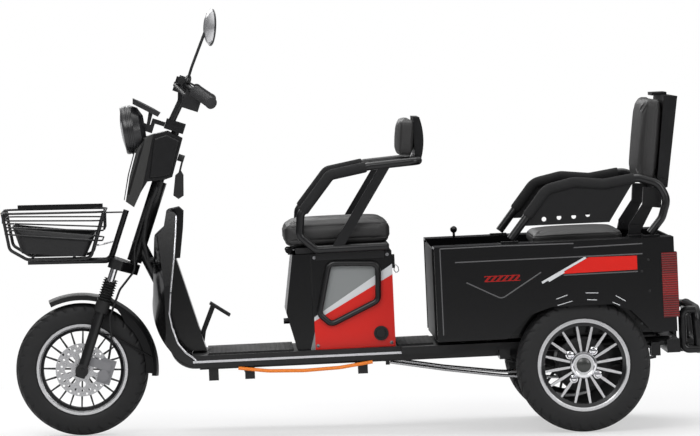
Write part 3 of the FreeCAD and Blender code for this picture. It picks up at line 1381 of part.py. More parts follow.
def rear_end():
    half = S.cargo_half
    side = box("lamp_side", (S.cargo_rear - 6, S.cargo_rear + 40), (half + 0.3, half + 6),
               (S.lamp_low, S.lamp_high))
    back = box("lamp_back", (S.cargo_rear - 8, S.cargo_rear - 0.3), (half - 50, half + 6),
               (S.lamp_low, S.lamp_high))
    node("tail_lamps", on_frame(both_sides("lamp_pair", fuse("tail_lamp", side, back))))
    half = S.hoop_half.value
    cross_face = S.cross_x - S.cross_square / 2
    low_x, low_z = cross_face - S.hoop_reach, S.cross_level - 15
    top_x, top_z = low_x + 8, low_z + S.hoop_high
    ring = tube("hoop_ring", [
        (top_x, 0, top_z),
        (top_x, half, top_z),
        (low_x, half, low_z),
        (low_x, -half, low_z),
        (top_x, -half, top_z),
        (top_x, 0, top_z),
    ], S.hoop_radius, 34)
    inner_x = cross_face - 13
    arms = [tube(f"hoop_arm_{sign + 2}", [
        (top_x, sign * half, top_z),
        (inner_x, sign * half, top_z),
        (inner_x, sign * half, low_z),
        (low_x, sign * half, low_z),
    ], 12, 20) for sign in (-1, 1)]
    stubs = [rod(f"hoop_stub_{sign + 2}", 12, S.hoop_reach, low_x, sign * 110, low_z + 2, "x")
             for sign in (-1, 1)]
    node("rear_bumper", on_frame(fuse("bumper_body", ring, *arms, *stubs)))
    x, z = S.rear_axle_x, S.tyre_radius
    length = S.rear_track - 2 * (S.rim_half_width + 5)
    tube_bar = rod("axle_tube_bar", S.axle_tube, length, x, -length / 2, z, "y")
    gear = rod("drive_housing", S.gear_radius, 120, x, -90, z, "y")
    motor = rod("motor", 50, 110, x - 96, 0, z, "y")
    shaft_length = S.rear_track + 2 * S.rear_face
    shaft = rod("half_shafts", S.half_shaft, shaft_length, x, -shaft_length / 2, z, "y")
    web = box("motor_bridge", (x - 96, x), (-20, 30), (z - 36, z + 36))
    levers = []
    for sign in (-1, 1):
        y = sign * 150
        levers.append(box(f"brake_arm_{sign + 2}", (x - 12, x + 56.4), (y - 9, y + 9), (150, 166)))
        levers.append(box(f"brake_root_{sign + 2}", (x - 12, x + 12), (y - 9, y + 9), (150, z - 6)))
    node("rear_axle", fuse("axle_body", tube_bar, gear, motor, shaft, web, *levers))
    y = S.spring_out
    leaves = []
    low = z - S.axle_tube - S.bearing_gap
    for index, reach in enumerate((232, 170, 110, 60)):
        top = low - index * S.leaf_thick
        leaves.append(slab(f"leaf_{index}", [
            (x - reach, top + reach * 0.16),
            (x - 40, top),
            (x + 40, top),
            (x + reach, top + reach * 0.16),
            (x + reach, top + reach * 0.16 - S.leaf_thick - 0.5),
            (x + 40, top - S.leaf_thick - 0.5),
            (x - 40, top - S.leaf_thick - 0.5),
            (x - reach, top + reach * 0.16 - S.leaf_thick - 0.5),
        ], S.leaf_wide / 2, y))
    node("leaf_springs", both_sides("spring_pair", fuse("spring_body", *leaves)))


for build in (front_wheel, fork, front_mudguard, front_brake, basket, steering_dress, handlebar,
              main_frame, rear_frame, leg_shield, deck, seat_box, driver_seat, cargo_box, rear_arms,
              backrest, rear_end):
    build()
for side, sign in (("left", 1), ("right", -1)):
    rear_wheel(side, sign)
DOC.recompute()

broken = [item.Name for item in DOC.Objects if "Invalid" in item.State or "Error" in item.State]
for name, thing in NODES.items():
    if thing.Shape.isNull() or not thing.Shape.isValid() or not thing.Shape.Solids:
        broken.append(name)
if broken:
    raise RuntimeError("these pieces failed: " + ", ".join(broken))

os.makedirs("parts", exist_ok=True)
for name, thing in NODES.items():
    thing.Shape.exportStep(os.path.join("parts", name + ".step"))
print(len(NODES), "sub-parts written")
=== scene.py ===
"""Looks of an electric tricycle with a driver's seat box and a passenger box.

Each section holds one group of pieces.  Lengths are in millimetres inside a section, and a piece
becomes metres when its mesh is made.
"""
import math

import bmesh
import bpy
import numpy as np
from mathutils import Matrix, Vector


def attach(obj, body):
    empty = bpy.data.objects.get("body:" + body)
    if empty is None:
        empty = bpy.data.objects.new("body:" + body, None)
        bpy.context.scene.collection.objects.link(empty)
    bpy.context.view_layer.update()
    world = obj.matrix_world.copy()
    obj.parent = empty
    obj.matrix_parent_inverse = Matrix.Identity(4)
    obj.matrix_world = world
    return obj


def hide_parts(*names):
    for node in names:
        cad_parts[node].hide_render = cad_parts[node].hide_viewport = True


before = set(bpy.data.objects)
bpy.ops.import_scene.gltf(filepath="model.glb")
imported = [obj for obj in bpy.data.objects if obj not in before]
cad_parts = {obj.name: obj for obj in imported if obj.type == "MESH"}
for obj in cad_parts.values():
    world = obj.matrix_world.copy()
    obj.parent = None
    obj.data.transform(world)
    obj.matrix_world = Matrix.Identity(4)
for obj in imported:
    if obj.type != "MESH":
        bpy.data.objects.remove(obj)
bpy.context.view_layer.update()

# Camera and studio
# A long lens stands 16 m off the left side, a little ahead of square and a little above.
# The floor and the backdrop are pale, and the lamps are wide and soft.
aim = Vector((-0.0001, 0.0, 0.655))
camera_azimuth, camera_elevation, camera_roll = 1.64, 2.3, 1.2
camera_distance, camera_lens = 16.0, 265.37
turn, lift = math.radians(camera_azimuth), math.radians(camera_elevation)
towards = Vector((math.sin(turn) * math.cos(lift), math.cos(turn) * math.cos(lift), math.sin(lift)))
camera = bpy.data.objects.new("camera", bpy.data.cameras.new("camera"))
bpy.context.scene.collection.objects.link(camera)
camera.data.lens = camera_lens
camera.data.sensor_width = 36.0
camera.data.clip_start, camera.data.clip_end = 1.0, 60.0
camera.location = aim + towards * camera_distance
level = towards.to_track_quat("Z", "Y").to_matrix().to_4x4()
camera.rotation_euler = (level @ Matrix.Rotation(math.radians(-camera_roll), 4, "Z")).to_euler()
bpy.context.scene.camera = camera
bpy.context.scene.view_settings.view_transform = "Standard"


class Signal:
    """A shader socket.  Arithmetic on it adds Math nodes, and node() adds any other node."""

    def __init__(self, socket):
        self.socket = socket

    @staticmethod
    def node(tree, kind, settings=None, sockets=None, out=0):
        """Add a node: its settings first, a ramp's stops among them, then its sockets."""
        made = tree.nodes.new(kind)
        for key, value in (settings or {}).items():
            if key == "stops":
                elements = made.color_ramp.elements
                while len(elements) < len(value):
                    elements.new(1.0)
                for element, (position, colour) in zip(elements, value):
                    element.position, element.color = position, (*colour, 1.0)
            else:
                setattr(made, key, value)
        for key, value in (sockets or {}).items():
            if isinstance(value, Signal):
                tree.links.new(value.socket, made.inputs[key])
            else:
                made.inputs[key].default_value = value
        return Signal(made.outputs[out])

    def math(self, operation, *values):
        return self.node(self.socket.id_data, "ShaderNodeMath", {"operation": operation},
                         dict(enumerate(values)))

    def __add__(self, other):
        return self.math("ADD", self, other)

    def __sub__(self, other):
        return self.math("SUBTRACT", self, other)

    def __rsub__(self, other):
        return self.math("SUBTRACT", other, self)

    def __mul__(self, other):
        return self.math("MULTIPLY", self, other)

    def __lt__(self, other):
        return self.math("LESS_THAN", self, other)

    def __gt__(self, other):
        return self.math("GREATER_THAN", self, other)

    def __abs__(self):
        return self.math("ABSOLUTE", self)

    def root(self):
        return self.math("SQRT", self)

    def either(self, other):
        """The greater of two masks."""
        return self.math("MAXIMUM", self, other)

    def wave(self):
        """Its sine, brought to 0 to 1."""
        return self.math("SINE", self) * 0.5 + 0.5

    def between(self, low, high):
        """1 where the value lies between two others."""
        return (self > low) * (self < high)

    def ramp(self, low, high):
        """0 at low, 1 at high, held outside them."""
        return self.node(self.socket.id_data, "ShaderNodeMapRange", {"clamp": True},
                         {0: self, 1: low, 2: high})

    def mix(self, first, second):
        """A colour between two others, by this value."""
        return self.node(self.socket.id_data, "ShaderNodeMix", {"data_type": "RGBA"},
                         {0: self, 6: first, 7: second}, out=2)


class Finish:
    """A material under way: a Principled shader, its place on the piece and its bump."""

    def __init__(self, name, colour, roughness, metallic=0.0, **fixed):
        self.material = bpy.data.materials.new(name)
        self.material.use_nodes = True
        self.tree = self.material.node_tree
        self.shader = self.tree.nodes["Principled BSDF"]
        self.set(**{"Base Color": (*colour, 1.0), "Roughness": roughness, "Metallic": metallic})
        self.set(**{key.replace("_", " "): value for key, value in fixed.items()})
        self.place = self.node("ShaderNodeTexCoord", out=3)
        self.height = None

    def node(self, kind, settings=None, sockets=None, out=0):
        return Signal.node(self.tree, kind, settings, sockets, out)

    def set(self, **values):
        for name, value in values.items():
            name = name.replace("_", " ")
            if isinstance(value, Signal):
                self.tree.links.new(value.socket, self.shader.inputs[name])
            else:
                self.shader.inputs[name].default_value = value
        return self

    def noise(self, scale, detail=3.0):
        """Noise from 0 to 1 whose grains are 1 / scale metres across."""
        sockets = {"Vector": self.place, "Scale": scale, "Detail": detail}
        return self.node("ShaderNodeTexNoise", {}, sockets)

    def cells(self, scale):
        """Distance to the nearest of scattered points, for the grain of vinyl and plastic."""
        return self.node("ShaderNodeTexVoronoi", {"feature": "F1"}, {"Vector": self.place, "Scale": scale})

    def axes(self):
        """The three coordinates on the piece, in metres."""
        split = self.node("ShaderNodeSeparateXYZ", {}, {"Vector": self.place})
        outputs = split.socket.node.outputs
        return Signal(outputs[0]), Signal(outputs[1]), Signal(outputs[2])

    def vary(self, low, high, by):
        """The roughness goes from low to high with a value from 0 to 1."""
        return self.set(Roughness=by * (high - low) + low)

    def bump(self, height, depth, strength=1.0):
        """Heights from 0 to 1 raise the surface by the given depth in metres."""
        sockets = {"Height": height, "Distance": depth, "Strength": strength}
        if self.height is not None:
            sockets["Normal"] = self.height
        self.height = self.node("ShaderNodeBump", {}, sockets)
        return self.set(Normal=self.height)


floor_mesh = bpy.data.meshes.new("floor")
floor_half, floor_level = 30.0, -0.0005
floor_corners = ((-1, -1), (1, -1), (1, 1), (-1, 1))
floor_mesh.from_pydata([(x * floor_half, y * floor_half, floor_level) for x, y in floor_corners],
                       [], [(0, 1, 2, 3)])
floor = bpy.data.objects.new("floor", floor_mesh)
bpy.context.scene.collection.objects.link(floor)
floor_finish = Finish("pale_floor", (0.86, 0.86, 0.86), 0.75)
floor_finish.vary(0.7, 0.8, floor_finish.noise(3.0))
floor_x, floor_y = floor_finish.axes()[:2]
away = (floor_x * floor_x + floor_y * floor_y).root()
paths = floor_finish.node("ShaderNodeLightPath").socket.node.outputs
shadow_reach, floor_end = 1.0, 2.4
seen_floor = (away.ramp(shadow_reach, floor_end) * 0.5 + 0.5) * Signal(paths["Is Camera Ray"])
white = floor_finish.node("ShaderNodeEmission", {}, {"Color": (1.0, 1.0, 1.0, 1.0), "Strength": 1.0})
blended = floor_finish.node("ShaderNodeMixShader", {}, {0: seen_floor, 2: white})
floor_finish.tree.links.new(floor_finish.shader.outputs[0], blended.socket.node.inputs[1])
floor_finish.tree.links.new(blended.socket, floor_finish.tree.nodes["Material Output"].inputs["Surface"])
floor_mesh.materials.append(floor_finish.material)

world = bpy.data.worlds.new("studio")
bpy.context.scene.world = world
world.use_nodes = True
studio = world.node_tree
backdrop = studio.nodes["Background"]
backdrop.inputs["Strength"].default_value = 1.0
direction = Signal.node(studio, "ShaderNodeTexCoord", out=0)
parts = Signal.node(studio, "ShaderNodeSeparateXYZ", {}, {"Vector": direction}).socket.node.outputs
upward = Signal(parts[2])
mirrored = upward.ramp(0.15, 0.75).mix((0.06, 0.06, 0.063, 1.0), (1.0, 1.0, 1.0, 1.0))
studio_paths = Signal.node(studio, "ShaderNodeLightPath").socket.node.outputs
glossy = Signal(studio_paths["Is Glossy Ray"]).mix((0.5, 0.5, 0.51, 1.0), mirrored)
straight = Signal(studio_paths["Is Camera Ray"]) + Signal(studio_paths["Is Transmission Ray"])
seen_world = (straight > 0.5).mix(glossy, (1.0, 1.0, 1.0, 1.0))
studio.links.new(seen_world.socket, backdrop.inputs["Color"])

# place, point that it faces, width, height, power
lamps = {
    "key_lamp": ((1.6, 4.2, 3.6), (0.0, 0.0, 0.6), 3.2, 2.2, 120.0),
    "side_lamp": ((-3.6, 3.4, 2.4), (-0.3, 0.0, 0.6), 1.6, 2.6, 62.0),
    "top_lamp": ((0.0, -0.6, 4.2), (0.0, 0.0, 0.5), 4.0, 2.0, 80.0),
    "back_lamp": ((1.5, -4.0, 3.0), (0.0, 0.0, 0.7), 3.0, 2.0, 70.0),
}
for name, (place, faces, wide, high, power) in lamps.items():
    lamp = bpy.data.objects.new(name, bpy.data.lights.new(name, "AREA"))
    lamp.data.shape, lamp.data.size, lamp.data.size_y, lamp.data.energy = "RECTANGLE", wide, high, power
    lamp.location = place
    lamp.rotation_euler = (Vector(place) - Vector(faces)).to_track_quat("Z", "Y").to_euler()
    bpy.context.scene.collection.objects.link(lamp)


# Tyres
# Tubeless scooter tyres of black rubber, moulded with two zigzag grooves round the crown and a
# slanted groove from each shoulder that runs out on the sidewall.
def surface(name, finish, *grids, sharp=35.0):
    """Make one mesh of grids of points, each (rows, columns, 3) in millimetres.

    Four neighbours of a grid make a face.  Equal points are merged, so rings and poles close.
    """
    points, faces, start = [], [], 0
    for grid in grids:
        rows, columns = grid.shape[:2]
        index = start + np.arange(rows * columns).reshape(rows, columns)
        corners = [index[:-1, :-1], index[:-1, 1:], index[1:, 1:], index[1:, :-1]]
        faces.append(np.stack(corners, -1).reshape(-1, 4))
        points.append(grid.reshape(-1, 3) / 1000.0)
        start += rows * columns
    mesh = bpy.data.meshes.new(name)
    mesh.from_pydata(np.concatenate(points).tolist(), [], np.concatenate(faces).tolist())
    solid = bmesh.new()
    solid.from_mesh(mesh)
    bmesh.ops.remove_doubles(solid, verts=solid.verts, dist=3e-6)
    bmesh.ops.recalc_face_normals(solid, faces=solid.faces)
    solid.to_mesh(mesh)
    solid.free()
    mesh.shade_smooth()
    mesh.set_sharp_from_angle(angle=math.radians(sharp))
    mesh.materials.append(finish.material)
    made = bpy.data.objects.new(name, mesh)
    bpy.context.scene.collection.objects.link(made)
    return made


def fit(made, body, slot, *nodes):
    """Fix a piece to a body, and let it stand for the CAD nodes named, which are hidden.  The slot is not
    used.
    """
    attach(made, body)
    if nodes:
        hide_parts(*nodes)
    return made


rubber = Finish("tyre_rubber", (0.011, 0.011, 0.0115), 0.6, Specular_IOR_Level=0.3)
rubber.vary(0.5, 0.72, rubber.noise(35.0))
rubber.bump(rubber.noise(900.0, 2.0), 0.0002, 0.5)

front_axle = np.array([838.98, 0.0, 204.98])
rear_axles = {"left": np.array([-693.0, 308.0, 205.0]), "right": np.array([-693.0, -308.0, 205.0])}
tyre_radius, tread_half, shoulder_drop = 205.0, 35.2, 9.4
wall_middle_r, wall_half_r, wall_y, wall_foot_y, wall_bulge = 168.4, 27.5, 33.4, 33.0, 7.6
bead_y, bead_r, well_r = 24.6, 141.6, 127.6
tread_pitches, tread_steps, crown_groove_y = 36, 540, 11.0


def tyre(name, body, centre, node):
    """Turn a tyre's section about its axle, its tread sunk where a groove runs.

    The crown is a parabola over the width, and each sidewall an arc that bulges half way.  A crown
    groove follows a zigzag line, and a shoulder groove a line slanted over the width.
    """
    lean = np.linspace(-0.94, 0.94, 13)
    side_y = wall_y + wall_bulge * np.sqrt(1 - lean ** 2)
    side_r = wall_middle_r + wall_half_r * lean
    for raised_ring in (188, 158):
        side_y = side_y + 0.7 * np.exp(-((side_r - raised_ring) / 1.4) ** 2)
    across = np.linspace(tread_half, -tread_half, 49)
    crown_r = tyre_radius - shoulder_drop * (across / tread_half) ** 2
    y = np.concatenate([[bead_y, bead_y, wall_foot_y], side_y, across, -side_y[::-1],
                        [-wall_foot_y, -bead_y, -bead_y, bead_y]])
    r = np.concatenate([[well_r, bead_r, bead_r], side_r, crown_r, side_r[::-1],
                        [bead_r, bead_r, well_r, well_r]])
    angle = np.linspace(0, 2 * np.pi, tread_steps + 1)
    pitch = angle * tread_pitches / (2 * np.pi)
    zigzag = 3.0 * np.abs(2 * (pitch % 1.0) - 1.0) - 1.5
    sink = np.zeros((len(y), len(angle)))
    for line in (-crown_groove_y, crown_groove_y):
        gap = np.abs(y[:, None] - line - zigzag[None, :])
        sink = np.maximum(sink, 4.0 * np.clip(1.6 - gap / 1.6, 0, 1) * (r[:, None] > 192))
    slant = pitch[None, :] + np.sign(y[:, None]) * 0.25 + (np.abs(y[:, None]) - 17) * 0.035
    near_groove = np.abs((slant % 1.0) - 0.5)
    reach = np.clip((np.abs(y[:, None]) - 15) / 3, 0, 1) * np.clip((r[:, None] - 181) / 8, 0, 1)
    sink = np.maximum(sink, 4.6 * reach * np.clip(1.5 - near_groove / 0.10, 0, 1))
    radius = r[:, None] - sink
    inset = np.sign(y[:, None]) * sink * 0.35 * (np.abs(y[:, None]) > 34)
    angle = np.append(angle[:-1], angle[0])
    grid = np.stack([centre[0] + radius * np.sin(angle), centre[1] + y[:, None] - inset,
                     centre[2] + radius * np.cos(angle)], -1)
    return fit(surface(name, rubber, grid, sharp=50.0), body, "tyre_rubber", node)


tyre("front_tyre_tread", "front_wheel", front_axle, "front_tyre")
for side, axle in rear_axles.items():
    tyre(f"rear_tyre_{side}_tread", f"rear_wheel_{side}", axle, f"rear_tyre_{side}")


# Wheels
# Cast aluminium, painted gloss black and turned bright on the outer lip.  The rear wheels' spokes
# are turned bright on their faces too, and four chrome dome nuts hold each on its cast iron drum.
def dress(finish, *nodes):
    """Give a finish to CAD nodes that stay as they are."""
    for node in nodes:
        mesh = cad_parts[node].data
        mesh.materials.clear()
        mesh.materials.append(finish.material)


def wheel_finish(name, centre):
    """A wheel's paint, with the radius from its axle and the distance from its middle, in mm."""
    finish = Finish(name, (0.01, 0.01, 0.01), 0.25)
    x, y, z = finish.axes()
    x, z = x * 1000.0 - float(centre[0]), z * 1000.0 - float(centre[2])
    return finish, (x * x + z * z).root(), abs(y * 1000.0 - float(centre[1]))


def turned_bright(finish, mask):
    """Bare turned aluminium where the mask is 1, black paint elsewhere."""
    shade = finish.noise(60.0, 2.0)
    metal = shade.mix((0.55, 0.55, 0.56, 1.0), (0.72, 0.72, 0.73, 1.0))
    finish.set(**{"Base Color": mask.mix((0.008, 0.008, 0.009, 1.0), metal)})
    finish.set(Metallic=mask * 0.95, Roughness=shade * 0.08 + 0.2)
    return finish.bump(finish.noise(700.0, 1.0), 0.0001, 0.3)


front_alloy, front_r = wheel_finish("front_wheel_alloy", front_axle)[:2]
dress(turned_bright(front_alloy, front_r > 128.5), "front_rim")
for side, axle in rear_axles.items():
    rear_alloy, rear_r, rear_y = wheel_finish(f"rear_wheel_alloy_{side}", axle)
    spoke_face = (rear_r < 118.5) * (rear_y > 17.5)
    dress(turned_bright(rear_alloy, (rear_r > 130.0).either(spoke_face)), f"rear_rim_{side}")


def lathe(profile, centre, axis, steps=64):
    """Turn a profile of (radius, distance along the axis) about an axis through a centre.

    A point is centre + distance * axis + radius * (cos t * side + sin t * up).
    """
    profile = np.array(profile, float)
    axis = np.array(axis, float) / np.linalg.norm(axis)
    side = np.cross(axis, (0, 0, 1) if abs(axis[2]) < 0.9 else (1, 0, 0))
    side = side / np.linalg.norm(side)
    t = np.linspace(0, 2 * np.pi, steps + 1)[:, None]
    ring = np.cos(t) * side + np.sin(t) * np.cross(axis, side)
    ring[-1] = ring[0]
    return np.array(centre) + profile[:, None, 1:2] * axis + profile[:, None, 0:1] * ring


chrome = Finish("chrome", (0.78, 0.78, 0.8), 0.1, 1.0)
chrome.vary(0.06, 0.16, chrome.noise(30.0))
chrome.bump(chrome.noise(260.0, 1.0), 0.00005, 0.3)
cap_paint = Finish("cap_paint", (0.02, 0.022, 0.02), 0.35, Coat_Weight=0.4)
cap_paint.vary(0.28, 0.45, cap_paint.noise(80.0))
cap_paint.bump(cap_paint.noise(500.0), 0.0002, 0.5)
drum_iron = Finish("drum_iron", (0.02, 0.02, 0.021), 0.55, 0.4)
drum_iron.vary(0.45, 0.65, drum_iron.noise(70.0))
drum_iron.bump(drum_iron.noise(400.0), 0.0004, 0.6)
hub_face_y, nut_circle_r = 20.0, 52
for side, axle in rear_axles.items():
    out = 1.0 if side == "left" else -1.0
    face = axle + (0, out * hub_face_y, 0)
    ring = lathe([(0, -4), (41, -4), (42, 3), (38, 8), (33, 9), (29, 6), (23, 5), (0, 5)], face,
                 (0, out, 0))
    fit(surface(f"rear_hub_ring_{side}", chrome, ring), f"rear_wheel_{side}", "chrome")
    cap = lathe([(0, 4), (23, 4), (22, 9), (18, 12), (8, 14), (0, 14.5)], face, (0, out, 0))
    fit(surface(f"rear_hub_cap_{side}", cap_paint, cap), f"rear_wheel_{side}", "black_plastic")
    nuts = []
    for clock in (36, 126, 216, 306):
        clock = math.radians(clock)
        spot = face + (-nut_circle_r * math.sin(clock), 0, nut_circle_r * math.cos(clock))
        nuts.append(lathe([(0, -6), (12.5, -6), (12.5, 0), (9.5, 1), (9, 6), (6.5, 10), (0, 12)], spot,
                          (0, out, 0), 24))
    fit(surface(f"rear_wheel_nuts_{side}", chrome, *nuts), f"rear_wheel_{side}", "chrome")
    drum = lathe([(30, -2), (72, -2), (80, 4), (80, 12), (84, 13), (84, 17), (80, 18), (80, 27), (74, 30),
                  (30, 30), (30, -2)], axle, (0, -out, 0), 72)
    fit(surface(f"rear_brake_drum_{side}", drum_iron, drum), f"rear_wheel_{side}", "black_steel")
front_cap = lathe([(0, 29), (31, 29), (31, 36.6), (27, 40), (16, 41), (0, 41)], front_axle, (0, -1, 0))
fit(surface("front_hub_cap", chrome, front_cap), "front_wheel", "chrome")


# Brake disc, caliper and brake rods
# A ground steel disc drilled right through, bare steel rods to the rear brakes, and a caliper cast
# in light alloy with a sand-cast skin.
ground_steel = Finish("ground_steel", (0.5, 0.5, 0.51), 0.28, 1.0)
ground_steel.vary(0.2, 0.36, ground_steel.noise(140.0))
ground_steel.bump(ground_steel.noise(900.0, 1.0), 0.0001, 0.4)
dress(ground_steel, "brake_disc", "brake_rods")
cast_metal = Finish("cast_metal", (0.24, 0.24, 0.25), 0.42, 0.8)
cast_metal.vary(0.34, 0.55, cast_metal.noise(90.0))
cast_metal.bump(cast_metal.noise(600.0), 0.0004, 0.6)
dress(cast_metal, "brake_caliper")


# Frame tubes, axle and springs
# Welded steel tube and sheet, powder-coated in satin black, with a fine orange-peel skin.  The
# fork's inner legs are hard chrome.
frame_coat = Finish("black_coat", (0.006, 0.006, 0.0065), 0.3, Specular_IOR_Level=0.3, Coat_Weight=0.15)
frame_coat.vary(0.24, 0.38, frame_coat.noise(40.0))
frame_coat.bump(frame_coat.noise(900.0, 1.0), 0.0002, 0.5)
dress(frame_coat, "main_frame", "rear_frame", "rear_axle", "rear_bumper", "bench_box", "backrest_shell",
      "backrest_brackets", "cargo_floor", "seat_side_loops", "driver_armrests", "rear_armrests",
      "fork_crown", "fork_sliders", "handlebar", "brake_pedal", "basket_frame", "leaf_springs")
dress(chrome, "fork_stanchions")


# Plastic mouldings and painted sheet
# The tunnel is injection-moulded in gloss black, mudguard and end walls are satin, and the deck,
# basket tub, switches and cable covers have a fine leather grain.
gloss_black = Finish("gloss_black", (0.003, 0.003, 0.0033), 0.16, Specular_IOR_Level=0.25, Coat_Weight=0.15)
gloss_black.vary(0.08, 0.2, gloss_black.noise(12.0))
gloss_black.bump(gloss_black.noise(160.0, 1.0), 0.0001, 0.25)
dress(gloss_black, "centre_tunnel")

satin_black = Finish("satin_black", (0.003, 0.003, 0.0033), 0.42, Specular_IOR_Level=0.2)
satin_black.vary(0.36, 0.5, satin_black.noise(20.0))
satin_black.bump(satin_black.noise(300.0, 1.0), 0.0001, 0.3)
dress(satin_black, "front_mudguard", "cargo_front_wall", "cargo_rear_wall")

plastic = Finish("grained_plastic", (0.01, 0.01, 0.0105), 0.5, Specular_IOR_Level=0.3)
plastic.vary(0.42, 0.6, plastic.noise(60.0))
plastic.bump(plastic.cells(1400.0), 0.0003, 0.5)
dress(plastic, "deck_floor", "basket_tub", "controls", "ignition_key", "seat_base", "cable_loom",
      "brake_hose")


# Fork bellows
# Two pleated rubber gaiters that keep grit off the bright legs, each clipped to a smooth collar.
rake = math.radians(18.9)
crown_x, crown_z = 672.0, 533.4


def on_fork(points):
    """Fork axes to world axes: crown + (x cos a - z sin a, y, x sin a + z cos a), a the rake."""
    points = np.asarray(points, float)
    x, y, z = points[..., 0], points[..., 1], points[..., 2]
    return np.stack([crown_x + x * math.cos(rake) - z * math.sin(rake), y,
                     crown_z + x * math.sin(rake) + z * math.cos(rake)], -1)


gaiter_rubber = Finish("gaiter_rubber", (0.01, 0.01, 0.01), 0.5, Specular_IOR_Level=0.3)
gaiter_rubber.vary(0.4, 0.6, gaiter_rubber.noise(50.0))
gaiter_rubber.bump(gaiter_rubber.noise(800.0), 0.0002, 0.5)
leg_x, leg_y = 51.6, 74.0
pleat_count, pleat_radius, pleat_depth = 8, 20.0, 3.0
fold = np.linspace(0, 1, 71)
pleat_r = pleat_radius + pleat_depth * np.cos(fold * pleat_count * 2 * np.pi)
pleats = np.stack([pleat_r, -76 - 64 * fold], -1)
collar = [(22.6, -142), (22.6, -172), (21, -175.5), (12, -175.5), (12, -75.5)]
gaiter = np.concatenate([[(12, -75.5), (19, -75.5)], pleats, collar])
gaiters = [on_fork(lathe(gaiter, (leg_x, y, 0), (0, 0, 1), 40)) for y in (-leg_y, leg_y)]
fit(surface("fork_gaiters", gaiter_rubber, *gaiters), "steering", "black_plastic", "fork_boots")


# Driver's seat and back pad, passengers' seat and back
# Moulded foam on a board under black vinyl.  Each is welded along a seam a little under its top
# edge, and the cover is pulled down over the board.
def pillow(half, crown, corner, edge, seams=(), rows=72, columns=128):
    """A crowned closed cushion in its own axes: x and y over its face, z out of the face.

    A superellipsoid: x = a |cos v|^edge |cos u|^corner with the signs of the cosines, y the same with
    sin u, z = c |sin v|^edge.  The face is raised by a crown that falls to nothing at the edges, and
    a seam is a narrow ditch round the side at a given height.
    """
    a, b, c = half
    u = np.linspace(-np.pi, np.pi, columns + 1)
    v = np.linspace(-np.pi / 2, np.pi / 2, rows)[:, None]
    v = v - 0.28 * np.sin(2 * v) * (1 - edge)
    cos_u, sin_u = np.cos(u), np.sin(u)
    cos_u[-1] = cos_u[0]
    sin_u[0] = sin_u[-1] = 0.0
    x = a * np.sign(cos_u) * np.abs(cos_u) ** corner
    y = b * np.sign(sin_u) * np.abs(sin_u) ** corner
    spread = np.clip(np.cos(v), 0, 1) ** edge
    z = c * np.sign(np.sin(v)) * np.abs(np.sin(v)) ** edge + 0 * u
    pinch = 1.0
    for height, depth in seams:
        pinch = pinch - depth / min(a, b) * np.exp(-((z - height * c) / 2.2) ** 2) * (spread > 0.55)
    x, y = x * spread * pinch, y * spread * pinch
    lift = crown * (1 - (x / a) ** 2) * (1 - (y / b) ** 2)
    return np.stack([x, y, z + np.where(z > 0, lift, 0.15 * lift)], -1)


def turned_to(grid, centre, along, across, out):
    """Lay a grid's x, y and z along three directions from a centre."""
    return np.array(centre) + grid @ np.array([along, across, out], float)


def puffed(made, frames=16, pressure=3.0, most=4.0):
    """Blow the cover up as cloth for a few frames, move no point further than the most, and keep it."""
    rest = np.empty(len(made.data.vertices) * 3)
    made.data.vertices.foreach_get("co", rest)
    cloth = made.modifiers.new("cover", "CLOTH")
    cloth.settings.use_pressure = True
    cloth.settings.uniform_pressure_force = pressure
    cloth.settings.effector_weights.gravity = 0.0
    cloth.settings.quality = 4
    cloth.settings.tension_stiffness = cloth.settings.compression_stiffness = 18.0
    cloth.settings.bending_stiffness = 1.2
    for step in range(1, frames + 1):
        bpy.context.scene.frame_set(step)
    shown = made.evaluated_get(bpy.context.evaluated_depsgraph_get())
    moved = np.empty(len(made.data.vertices) * 3)
    shown.data.vertices.foreach_get("co", moved)
    made.modifiers.remove(cloth)
    shift = (moved - rest).reshape(-1, 3)
    length = np.linalg.norm(shift, axis=1, keepdims=True)
    shift = shift * np.minimum(1.0, most / 1000.0 / np.maximum(length, 1e-9))
    made.data.vertices.foreach_set("co", (rest.reshape(-1, 3) + shift).ravel())
    made.data.update()
    bpy.context.scene.frame_set(1)
    return made


nose_down = math.radians(1.4)


def on_frame(points):
    """Frame axes to world axes: x cos a + z sin a, and z cos a - x sin a, a the nose-down angle."""
    points = np.asarray(points, float)
    x, y, z = points[..., 0], points[..., 1], points[..., 2]
    return np.stack([x * math.cos(nose_down) + z * math.sin(nose_down), y,
                     z * math.cos(nose_down) - x * math.sin(nose_down)], -1)


vinyl = Finish("black_vinyl", (0.02, 0.0195, 0.0195), 0.5, Specular_IOR_Level=0.4)
vinyl.vary(0.42, 0.6, vinyl.noise(25.0))
vinyl.bump(vinyl.noise(60.0, 2.0), 0.0012, 0.35)
vinyl.bump(vinyl.cells(420.0), 0.0004, 0.6)

frame_x, frame_y, frame_z = on_frame(np.eye(3))
seat = pillow((163, 158, 40), 5, 0.16, 0.30, ((0.62, 1.6), (-0.45, 1.2)))
driver_pad = surface("driver_seat_cover", vinyl,
                     turned_to(seat, on_frame((31, 0, 616)), frame_x, frame_y, frame_z))
fit(puffed(driver_pad), "seat_lid", "vinyl", "driver_cushion")

bench = pillow((141, 184, 22), 5, 0.14, 0.42, ((0.4, 1.4),))
bench_pad = surface("bench_seat_cover", vinyl,
                    turned_to(bench, on_frame((-707, 0, 568.5)), frame_x, frame_y, frame_z))
fit(puffed(bench_pad), "frame", "vinyl", "rear_cushion")

back = pillow((56, 138, 23), 4, 0.22, 0.34, ((0.1, 1.2),))
back_pad = surface("driver_back_cover", vinyl,
                   turned_to(back, on_frame((-196, 0, 898)), on_frame((-0.10, 0, 0.995)), frame_y,
                             on_frame((0.995, 0, 0.10))))
fit(puffed(back_pad), "frame", "vinyl", "driver_backrest")

